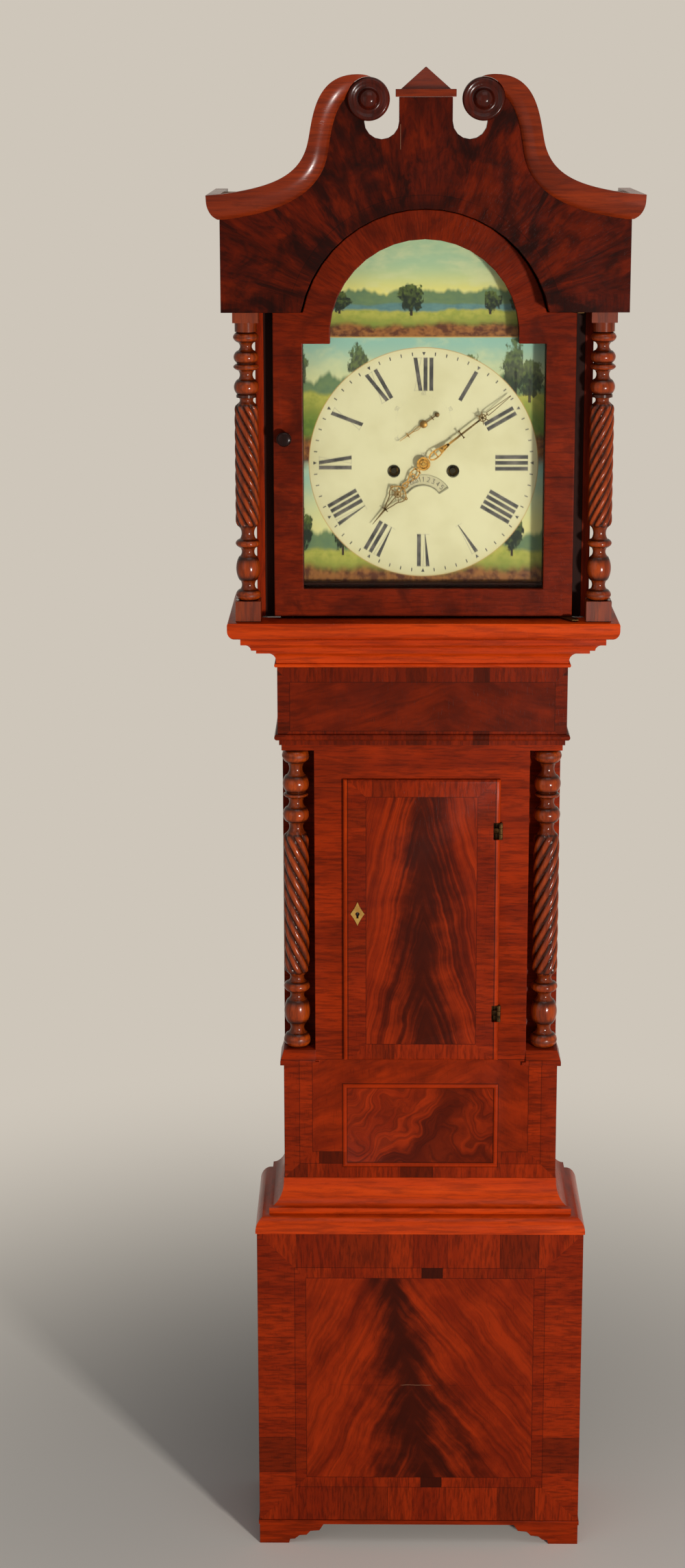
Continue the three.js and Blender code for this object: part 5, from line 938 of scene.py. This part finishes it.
SHAFT_HEIGHTS = {"trunk": 0.476, "hood": 0.4046}
FOOT_BLOCK, HEAD_BLOCK = (0, 0.03), (0.434, 0.449)
ROSETTE = [(1, 0), (1, 0.3), (0.97, 0.42), (0.9, 0.52), (0.84, 0.53), (0.74, 0.44), (0.62, 0.38), (0.52, 0.4),
           (0.47, 0.47), (0.45, 0.6), (0.4, 0.76), (0.28, 0.92), (0.14, 0.99), (0, 1)]
ROSETTE_RISE = 0.022
for side, place in ((-1, "left"), (1, "right")):
    x, y, radius = TRUNK_COLUMN
    foot = (side * x, y, Z_COLUMN + 0.0005)
    piece(f"trunk_twist_column_{place}",
          *twist_column(TRUNK_TURNING, SHAFT_HEIGHTS["trunk"], radius, TRUNK_TWIST, side, foot),
          "case", "dark_mahogany", trunk_turned, [f"trunk_column_{place}"], 50)
    x, y, radius = side * HOOD_COLUMN[0], *HOOD_COLUMN[1:]
    foot = Z_HOOD + 0.0007
    blocks = [bar(x - radius, x + radius, y - radius, y + radius, foot + low, foot + high)
              for low, high in (FOOT_BLOCK, HEAD_BLOCK)]
    shaft = twist_column(HOOD_TURNING, SHAFT_HEIGHTS["hood"], radius, HOOD_TWIST, side, (x, y, foot + 0.0297))
    piece(f"hood_twist_column_{place}", *together([shaft, *blocks]), "hood", "dark_mahogany",
          hood_turned, [f"hood_column_{place}"], 50)
    neck = piece(f"swan_neck_moulding_{place}", *swan_neck(side), "hood", "mahogany", scroll_mahogany,
                 [f"swan_neck_{place}"], 40)
    reach = ROSETTE_RADIUS + FIT
    eye = piece("eye", *revolved([(0, -0.02), (reach, -0.02), (reach, 0.1), (0, 0.1)], 64,
                                 (side * ROSETTE_X, Y_PEDIMENT, Z_ROSETTE), "y"), "hood", "mahogany", scroll_mahogany)
    cutting = neck.modifiers.new("eye", "BOOLEAN")
    cutting.operation, cutting.object, cutting.solver = "DIFFERENCE", eye, "EXACT"
    bpy.context.view_layer.update()
    settled = bpy.data.meshes.new_from_object(neck.evaluated_get(bpy.context.evaluated_depsgraph_get()))
    neck.modifiers.clear()
    neck.data = settled
    crisp(settled, 40)
    bpy.data.objects.remove(eye)
    profile = np.vstack([[[0, 0]], np.array(ROSETTE) * (ROSETTE_RADIUS, ROSETTE_RISE)])
    piece(f"turned_rosette_{place}", *revolved(profile, 64, (side * ROSETTE_X, Y_PEDIMENT - FIT, Z_ROSETTE), "y"),
          "hood", "dark_mahogany", rosette_wood, [f"rosette_{place}"], 60)

KNOB = [(0, -0.008), (0.0035, -0.008), (0.0035, 0.0003), (0.005, 0.0003), (0.0046, 0.0036), (0.0058, 0.0074),
        (0.0096, 0.0094), (0.0108, 0.012), (0.0106, 0.0142), (0.0088, 0.0162), (0.005, 0.0171), (0, 0.0173)]
piece("turned_knob", *revolved(smooth_line(KNOB, 3), 40, (-0.203, Y_BASE, 1.777), "y"), "hood_door",
      "dark_mahogany", knob_wood, ["hood_door_knob"], 50)

# Numerals, ticks and small numbers, each stroke a thin plate just in front of the paint

GLYPHS = {"I": 8.6, "V": 12.0, "X": 13.4}
HOURS = ["XII", "I", "II", "III", "IIII", "V", "VI", "VII", "VIII", "IX", "X", "XI"]
STROKE = 0.0056
NUMERAL_FOOT, NUMERAL_TOP = 0.1055, 0.1535
MINUTE_FOOT, MINUTE_TOP = 0.1567, 0.1617


def stroke(foot, top, foot_width, top_width, low, high):
    """A straight stroke: its foot and top middles in the glyph's frame with the width at each."""
    return [(foot - foot_width / 2, low), (foot + foot_width / 2, low),
            (top + top_width / 2, high), (top - top_width / 2, high)]


def hour_numeral(text):
    """Thick and thin strokes of a Roman numeral centred on the axis, with its top outwards."""
    thick, thin, span = [], [], (NUMERAL_FOOT, NUMERAL_TOP)
    left = -sum(GLYPHS[letter] for letter in text) / 2 * MM
    for letter in text:
        wide = GLYPHS[letter] * MM
        middle, right = left + wide / 2, left + wide
        if letter == "I":
            thick.append(stroke(middle, middle, STROKE, STROKE, *span))
        elif letter == "V":
            thick.append(stroke(middle + 0.0012, left + 0.0032, 0.0008, STROKE, *span))
            thin.append(stroke(middle + 0.0018, right - 0.0016, 0.0005, 0.0009, *span))
        else:
            thick.append(stroke(right - 0.0028, left + 0.0028, STROKE, STROKE, *span))
            thin.append(stroke(left + 0.0018, right - 0.0018, 0.0007, 0.0007, *span))
        for level in (NUMERAL_FOOT + 0.0004, NUMERAL_TOP - 0.0004):
            thin.append(stroke(middle, middle, wide - 0.0012, wide - 0.0012, level - 0.0003, level + 0.0003))
        left = right
    return thick, thin


DIGITS = {
    "0": [[(0, 0), (2, 0), (2, 4), (0, 4), (0, 0)]], "1": [[(0.4, 3.2), (1.2, 4), (1.2, 0)]],
    "2": [[(0, 4), (2, 4), (2, 2.2), (0, 0), (2, 0)]], "3": [[(0, 4), (2, 4), (0.9, 2.3), (2, 1.4), (2, 0), (0, 0)]],
    "4": [[(1.6, 0), (1.6, 4), (0, 1.2), (2.2, 1.2)]], "5": [[(2, 4), (0, 4), (0, 2.4), (2, 2.2), (2, 0), (0, 0)]],
    "6": [[(2, 4), (0.6, 3.2), (0, 2), (0, 0), (2, 0), (2, 2), (0, 2)]], "7": [[(0, 4), (2, 4), (0.8, 0)]],
    "8": [[(0.2, 2.1), (0.2, 4), (1.8, 4), (1.8, 2.1), (0.2, 2.1), (0, 0), (2, 0), (1.8, 2.1)]],
    "9": [[(2, 2.1), (0, 2.1), (0, 4), (2, 4), (2, 2.1), (0.8, 0)]],
}


def number_strokes(text, height, width):
    """Short straight strokes that draw a number, centred, from 0 to the height."""
    unit = height / 4
    advance = 2.9 * unit
    strokes = []
    for place, digit in enumerate(text):
        left = (place - len(text) / 2) * advance + 0.4 * unit
        for line in DIGITS[digit]:
            for (u0, v0), (u1, v1) in zip(line[:-1], line[1:]):
                a, b = np.array([left + u0 * unit, v0 * unit]), np.array([left + u1 * unit, v1 * unit])
                along = (b - a) / np.linalg.norm(b - a) * width / 2
                aside = np.array([-along[1], along[0]])
                strokes.append([a - along - aside, b + along - aside, b + along + aside, a - along + aside])
    return strokes


def laid_round(strokes, degrees, centre, y_front):
    """Flat strokes turned about a centre and made into plates 0.1 mm thick."""
    return [prism(turned_in_plane(line, degrees, centre), y_front, 0.0001) for line in strokes]


Y_INK = Y_DIAL - 0.00018
Y_WORN = Y_DIAL - 0.00013
hours, worn = [], []
for hour, text in enumerate(HOURS):
    thick, thin = hour_numeral(text)
    hours += laid_round(thick, 30 * hour, (0, Z_DIAL), Y_INK)
    worn += laid_round(thin, 30 * hour, (0, Z_DIAL), Y_WORN)
for minute in range(60):
    widths = (0.0014, 0.0016) if minute % 5 else (0.0003, 0.005)
    hours += laid_round([stroke(0, 0, *widths, MINUTE_FOOT, MINUTE_TOP)], 6 * minute, (0, Z_DIAL), Y_INK)
for second in range(60):
    if second % 5:
        worn += laid_round([stroke(0, 0, 0.0004, 0.0004, 0.0405, 0.0418)], 6 * second, (0, Z_SECONDS), Y_WORN)
for second in range(10, 61, 10):
    worn += laid_round(np.array(number_strokes(str(second), 0.0046, 0.0006)) + (0, 0.0426), 6 * second,
                       (0, Z_SECONDS), Y_WORN)
piece("hour_numerals_and_minute_ticks", *together(hours), "case", "dial_paint", numeral_black)
piece("worn_small_marks", *together(worn), "case", "dial_paint", worn_black)
days = []
for day in range(1, 32):
    days += laid_round(np.array(number_strokes(str(day), 0.0062, 0.0008)) + (0, 0.0345), 360 / 31 * (day - 1),
                       (0, Z_CALENDAR), Y_CALENDAR)
piece("numbers_of_the_days", *together(days), "calendar_disc", "dial_paint", numeral_black)
COLLAR = [(0.0068, -0.0012), (0.0068, 0.0008), (0.0074, 0.0013), (0.0086, 0.0013), (0.0093, 0.0006),
          (0.0093, -0.0012)]


def ring(profile, sides, centre):
    """A turned ring: its closed profile of (r, h) goes round the axis, h towards the front."""
    points, _ = revolved(profile, sides, centre, "y")
    rows = np.concatenate([points, points[:1]])
    return rows, quads(len(rows), sides)


for side, place in ((-1, "strike"), (1, "going")):
    piece(f"collar_of_the_{place}_winding_hole", *ring(COLLAR, 48, (side * WINDING_X, Y_DIAL, Z_WINDING)),
          "case", "brass", dull_brass, crease=40)

# Boards with eased edges
eased("base_front_panel", "base_panel", 0.0006, base_veneer)
eased("trunk_door", "door_of_the_trunk", 0.0012, door_veneer, 3)
eased("trunk_front", "front_of_the_trunk", 0.0006, lower_trunk_veneer)
eased("pediment", "pediment_board", 0.0006, pediment_veneer)
eased("hood_door_frame", "glazed_door_frame", 0.0014, door_frame_veneer, 3)
eased("plinth_front", "plinth_board", 0.0005, level_mahogany)
eased("finial_cap", "cap_of_the_plinth", 0.0009, scroll_mahogany, 3)
for place in ("left", "right"):
    for part in ("base", "trunk", "hood"):
        eased(f"{part}_side_{place}", f"{part}_board_{place}", 0.0006, upright_mahogany)

# Hands: flat strips carried along lines, with (across, along) in millimetres from the pivot

def strip(line, widths, y_front, thickness=0.0011):
    """A flat strip: half the width to each side of the line at every point, in two layers."""
    line = np.asarray(line, float)
    ahead = heading(line)
    aside = np.column_stack([-ahead[:, 1], ahead[:, 0]]) * np.broadcast_to(widths, len(line))[:, None] / 2
    left, right = line + aside, line - aside
    rear = y_front + thickness
    rows = [np.column_stack([edge[:, 0], np.full(len(edge), y), edge[:, 1]])
            for edge, y in ((left, y_front), (right, y_front), (right, rear), (left, rear))]
    return np.stack(rows, axis=1), capped(len(line), 4)


def hand_parts(strokes, circles, discs, degrees, centre, y_front):
    """The strips, circles and round bosses of a hand, turned to its direction about its pivot."""
    parts = []
    for line, first, last in strokes:
        smooth = smooth_line(np.array(line) * MM, 6) if len(line) > 2 else np.array(line) * MM
        widths = np.linspace(first, last, len(smooth)) * MM
        parts.append(strip(turned_in_plane(smooth, degrees, centre), widths, y_front))
    for u, v, radius, width in circles:
        x, z = turned_in_plane([(u * MM, v * MM)], degrees, centre)[0]
        near, far = (radius - width / 2) * MM, (radius + width / 2) * MM
        parts.append(ring([(near, -0.001), (far, -0.001), (far, 0.0001), (near, 0.0001)], 28, (x, y_front, z)))
    for u, v, radius, rise in discs:
        boss = [(0, -0.001), (radius * MM, -0.001), (radius * MM, 0.0004), (radius * 0.8 * MM, rise * 0.8 * MM),
                (0, rise * MM)]
        x, z = turned_in_plane([(u * MM, v * MM)], degrees, centre)[0]
        parts.append(revolved(boss, 24, (x, y_front, z), "y"))
    return parts


def mirrored(strokes):
    """Strokes and their mirror images across the hand's middle line."""
    return strokes + [([(-u, v) for u, v in line], first, last) for line, first, last in strokes]


MINUTE_STROKES = mirrored([
    ([(0.6, 11), (4.4, 16), (5.2, 24), (3.4, 34), (1.3, 46)], 2.2, 2.0),
    ([(1.5, 117), (2.4, 120), (1.6, 138), (0.4, 161)], 1.3, 0.8), ([(6, 68.4), (6, 71.6)], 1.5, 1.5)]) + [
    ([(-5, 23), (5, 23)], 1.8, 1.8), ([(0, 30), (0, 47)], 6.4, 3.2), ([(0, 44), (0, 104)], 3.4, 2.3),
    ([(-6.4, 70), (6.4, 70)], 1.7, 1.7), ([(0, 98), (0, 119)], 1.6, 1.6),
    ([(-9, 103.6), (0, 109)], 0.7, 1.9), ([(0, 109), (9, 114.4)], 1.9, 0.7),
    ([(-9, 114.4), (0, 109)], 0.7, 1.9), ([(0, 109), (9, 103.6)], 1.9, 0.7)]
MINUTE_CIRCLES = [(0, 0, 8.6, 2.8), (0, 0, 4.2, 2.6), (0, 109, 5, 1.5)]
HOUR_STROKES = mirrored([
    ([(0.6, 10), (4.8, 15), (5.8, 22), (3.6, 29), (1.4, 36), (3.4, 42), (0.8, 48)], 1.9, 1.7),
    ([(0.4, 47), (7, 49.5), (13, 56), (12, 63), (7.6, 69), (5, 77), (0.8, 89)], 1.6, 1.5)]) + [
    ([(-6.6, 13.5), (6.6, 13.5)], 1.4, 1.4), ([(-12, 59), (12, 59)], 1.2, 1.2), ([(0, 44), (0, 88)], 1.5, 1.3),
    ([(-8, 51), (8, 67)], 1.0, 1.0), ([(8, 51), (-8, 67)], 1.0, 1.0), ([(-5.4, 88), (5.4, 88)], 1.4, 1.4),
    ([(0, 86), (0, 117)], 3.2, 0.7)]
HOUR_CIRCLES = [(0, 0, 7.2, 4.0), (0, 24, 3.2, 1.4), (0, 59, 4.6, 1.3), (13.6, 56, 1.7, 1.4), (-13.6, 56, 1.7, 1.4),
                (0, 38, 2.2, 1.2)]
SECONDS_STROKES = mirrored([([(0.3, 5), (2, 11), (0.4, 18)], 1.0, 0.8)]) + [
    ([(0, 17), (0, 43)], 1.7, 0.7), ([(-3.8, 28), (3.8, 28)], 1.4, 1.4), ([(0, -22), (0, -4)], 1.5, 1.9),
    ([(-3.4, -15.5), (3.4, -15.5)], 1.3, 1.3)]
MINUTE_DEGREES, HOUR_DEGREES, SECONDS_DEGREES = 51.9, 219.8, 234.5
Y_MINUTE, Y_HOUR, Y_SECONDS, Y_PIPE = -0.047, -0.043, -0.0399, -0.0159
SECONDS_DISCS = [(0, 0, 5.6, 1.4), (0, -24, 3.6, 1.0)]
PIPE = [(0.0028, 0), (0.0028, 0.0271), (0.0043, 0.0271), (0.0043, 0)]
minute = hand_parts(MINUTE_STROKES, MINUTE_CIRCLES, [], MINUTE_DEGREES, (0, Z_DIAL), Y_MINUTE)
hour = hand_parts(HOUR_STROKES, HOUR_CIRCLES, [], HOUR_DEGREES, (0, Z_DIAL), Y_HOUR)
pipe = ring(PIPE, 24, (0, Y_PIPE, Z_DIAL))
seconds = hand_parts(SECONDS_STROKES, [], SECONDS_DISCS, SECONDS_DEGREES, (0, Z_SECONDS), Y_SECONDS)
for name, parts, body, node in (
        ("pierced_minute_hand", minute, "centre_arbor", "minute_hand"),
        ("pierced_hour_hand", [*hour, pipe], "hour_hand", "hour_hand"),
        ("small_seconds_hand", seconds, "escape_arbor", "seconds_hand")):
    piece(name, *together(parts), body, "brass", hand_brass, [node])

# Metal parts, merged and lightly eased: finish, slot, width of the easing, and the names by node
ENDS = ("lower", "upper")
METALS = [
    (iron, "iron", 0.0006, {"going_weight": "weight_of_the_going_train"}),
    (lead, "iron", 0.0006, {"strike_weight": "weight_of_the_strike"}),
    (steel, "iron", 0.0005, {"pendulum": "pendulum_with_bob"}),
    (steel, "steel", 0.0002, {"anchor": "anchor_and_crutch"}),
    (steel, "steel", 0.0004, {"lock_bolt": "bolt_of_the_lock"}),
    (brass, "brass", 0.0003, {"bell": "bell_of_the_strike", "trunk_door_lock": "lock_of_the_trunk_door",
                              "trunk_door_escutcheon": "lozenge_escutcheon"}),
    (dull_brass, "brass", 0.0002, {"going_drum": "grooved_going_drum", "strike_drum": "grooved_strike_drum"}),
    (brass, "brass", 0.0002, {"movement_front_plate": "front_plate_of_the_movement",
                              "movement_back_plate": "back_plate_and_pillars"}),
    (brass, "brass", 0.0001, {"going_great_wheel": "great_wheel_of_the_going_train",
                              "centre_wheel": "wheel_of_the_centre", "third_wheel": "wheel_after_the_centre",
                              "escape_wheel": "wheel_of_the_escapement"}),
    (dark_hinge, "brass", 0.0002, {f"trunk_hinge_{end}_{board}_leaf": f"{end}_butt_{board}_leaf"
                                   for board in ("case", "door") for end in ENDS}),
    (dark_hinge, "brass", 0.0003, {f"hood_door_{end}_strap": f"{end}_pivot_strap" for end in ENDS}),
]
for finish, slot, width, names in METALS:
    for node, name in names.items():
        eased(node, name, width, finish, 1, 42)


LINE_FOOT, LINE_HALF, LINE_RADIUS, LINE_DEPTH = 0.69995, 0.0209, 0.00095, 0.02015
DRUM_END, SEATBOARD_END = Z_WINDING - 0.0005, 1.6412


def gut_tube(line, sides=10):
    """A round line along points (x, z): place + radius (cos a n + sin a y), with n across it in the x-z plane."""
    x, z = np.asarray(line, float).T
    path = np.column_stack([x, np.full(len(x), LINE_DEPTH), z])
    ahead = heading(path)
    across = np.column_stack([-ahead[:, 2], np.zeros(len(path)), ahead[:, 0]])
    a = np.linspace(0, 2 * math.pi, sides, endpoint=False)[:, None]
    points = path[:, None] + LINE_RADIUS * (np.cos(a) * across[:, None] + np.sin(a) * np.array([0, 1.0, 0]))
    return points, capped(len(path), sides)


# Each line: two straight runs, and the turn under its pulley, which goes with the weight
for middle, place in ((0.04065, "going"), (-0.04615, "strike")):
    for x, top, end in ((middle - LINE_HALF, DRUM_END, "drum"), (middle + LINE_HALF, SEATBOARD_END, "seatboard")):
        run = piece(f"gut_of_the_{place}_weight_to_the_{end}", *gut_tube([(x, LINE_FOOT), (x, top)]),
                    "case", "gut", gut, [f"{place}_line"], 60)
        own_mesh(run)
    piece(f"gut_under_the_{place}_pulley", *gut_tube(bow(middle, LINE_FOOT, LINE_HALF, -LINE_HALF, 180, 0, 20)),
          f"{place}_weight", "gut", gut, [], 60)

# Finishes of the solids that stay
FINISHES = {
    # The hood's front frame is darkened as painted shade
    painted_shade_mahogany: ["hood_front_frame"],
    deal: ["backboard", "seatboard", "hood_roof"],
    dial_paint: ["dial"],
    calendar_cream: ["calendar_disc"],
    pane: ["hood_door_glass"],
}
for finish, names in FINISHES.items():
    for name in names:
        cad[name].data.materials.clear()
        cad[name].data.materials.append(finish)


# Floor, light and camera

BACKDROP = tone(206, 198, 186)
FOCAL_PIXELS, FRAME_PIXELS = 4065.5, 2289


def seen_plainly(tree):
    """1 for what the camera sees straight on, in a mirror or through glass."""
    rays = tree.nodes.new("ShaderNodeLightPath").outputs
    reflected = highest(Signal(rays["Is Glossy Ray"]), Signal(rays["Is Transmission Ray"]))
    return highest(Signal(rays["Is Camera Ray"]), reflected)


def floor():
    """A wide round floor in one pale colour, which far off glows evenly so that no edge is seen."""
    made, surface, place = new_material("pale floor")
    tree = made.node_tree
    fill(surface, {"Base Color": tone(236, 231, 224), "Roughness": 0.9, "Specular IOR Level": 0.0})
    x, y, _ = split(place)
    far = between(distance(x, y), 0.35, 2.2) * seen_plainly(tree)
    glow = add(tree, "Emission", {"Color": BACKDROP, "Strength": 1.0})
    mixed = add(tree, "MixShader", {0: far, 1: Signal(surface.outputs[0]), 2: Signal(glow.outputs[0])})
    fill(tree.nodes["Material Output"], {"Surface": Signal(mixed.outputs[0])})
    edge = bow(0, 0, 40, 40, 0, 360, 96)[:-1]
    mesh = bpy.data.meshes.new("floor")
    mesh.from_pydata(np.column_stack([edge, np.zeros(len(edge))]), [], [list(range(len(edge)))])
    mesh.materials.append(made)
    in_scene("floor", mesh)


def lamp(name, place, aim, size, power, colour=(1, 1, 1)):
    """A square soft lamp that looks at a point."""
    light = bpy.data.lights.new(name, "AREA")
    light.size, light.energy, light.color = size, power, colour
    made = in_scene(name, light)
    made.location = place
    away = np.asarray(place, float) - np.asarray(aim, float)
    made.rotation_euler = Vector(away).to_track_quat("Z", "Y").to_euler()


def sky():
    """An even grey light from all round, with the floor's colour beyond the floor."""
    world = bpy.data.worlds.new("studio")
    bpy.context.scene.world = world
    world.use_nodes = True
    tree = world.node_tree
    fill(tree.nodes["Background"], {"Color": layered((0.11, 0.11, 0.11, 1), (seen_plainly(tree), BACKDROP))})


def camera():
    """The camera fitted to the photograph: its place, its tilt, yaw and roll, and its focal length."""
    tilt, yaw, roll = 0.24679708500, 0.012927677, -0.0022786
    right = np.array([math.cos(yaw), math.sin(yaw), 0])
    ahead = np.array([-math.sin(yaw) * math.cos(tilt), math.cos(yaw) * math.cos(tilt), -math.sin(tilt)])
    up = np.cross(right, ahead)
    side = math.cos(roll) * right + math.sin(roll) * up
    top = math.cos(roll) * up - math.sin(roll) * right
    data = bpy.data.cameras.new("camera")
    data.sensor_fit = "VERTICAL"
    data.sensor_height = 36
    data.lens = data.sensor_height * FOCAL_PIXELS / FRAME_PIXELS
    data.clip_start, data.clip_end = 0.1, 200
    made = in_scene("camera", data)
    basis = np.column_stack([side, top, -ahead])
    made.matrix_world = Matrix.Translation((-0.06716, Y_BASE - 4.04525, 2.27836)) @ Matrix(basis.tolist()).to_4x4()
    bpy.context.scene.camera = made


floor()
lamp("key", (1.7, -3.3, 1.0), (0, 0, 1.25), 0.3, 116, (1, 0.96, 0.9))
lamp("fill", (-2.6, -3.2, 2.2), (0, 0, 1.2), 2.6, 11)
lamp("overhead", (0.4, -1.6, 4.2), (0, 0, 1.0), 2.0, 13)
sky()
camera()

scene = bpy.context.scene
scene.view_settings.view_transform = "Standard"
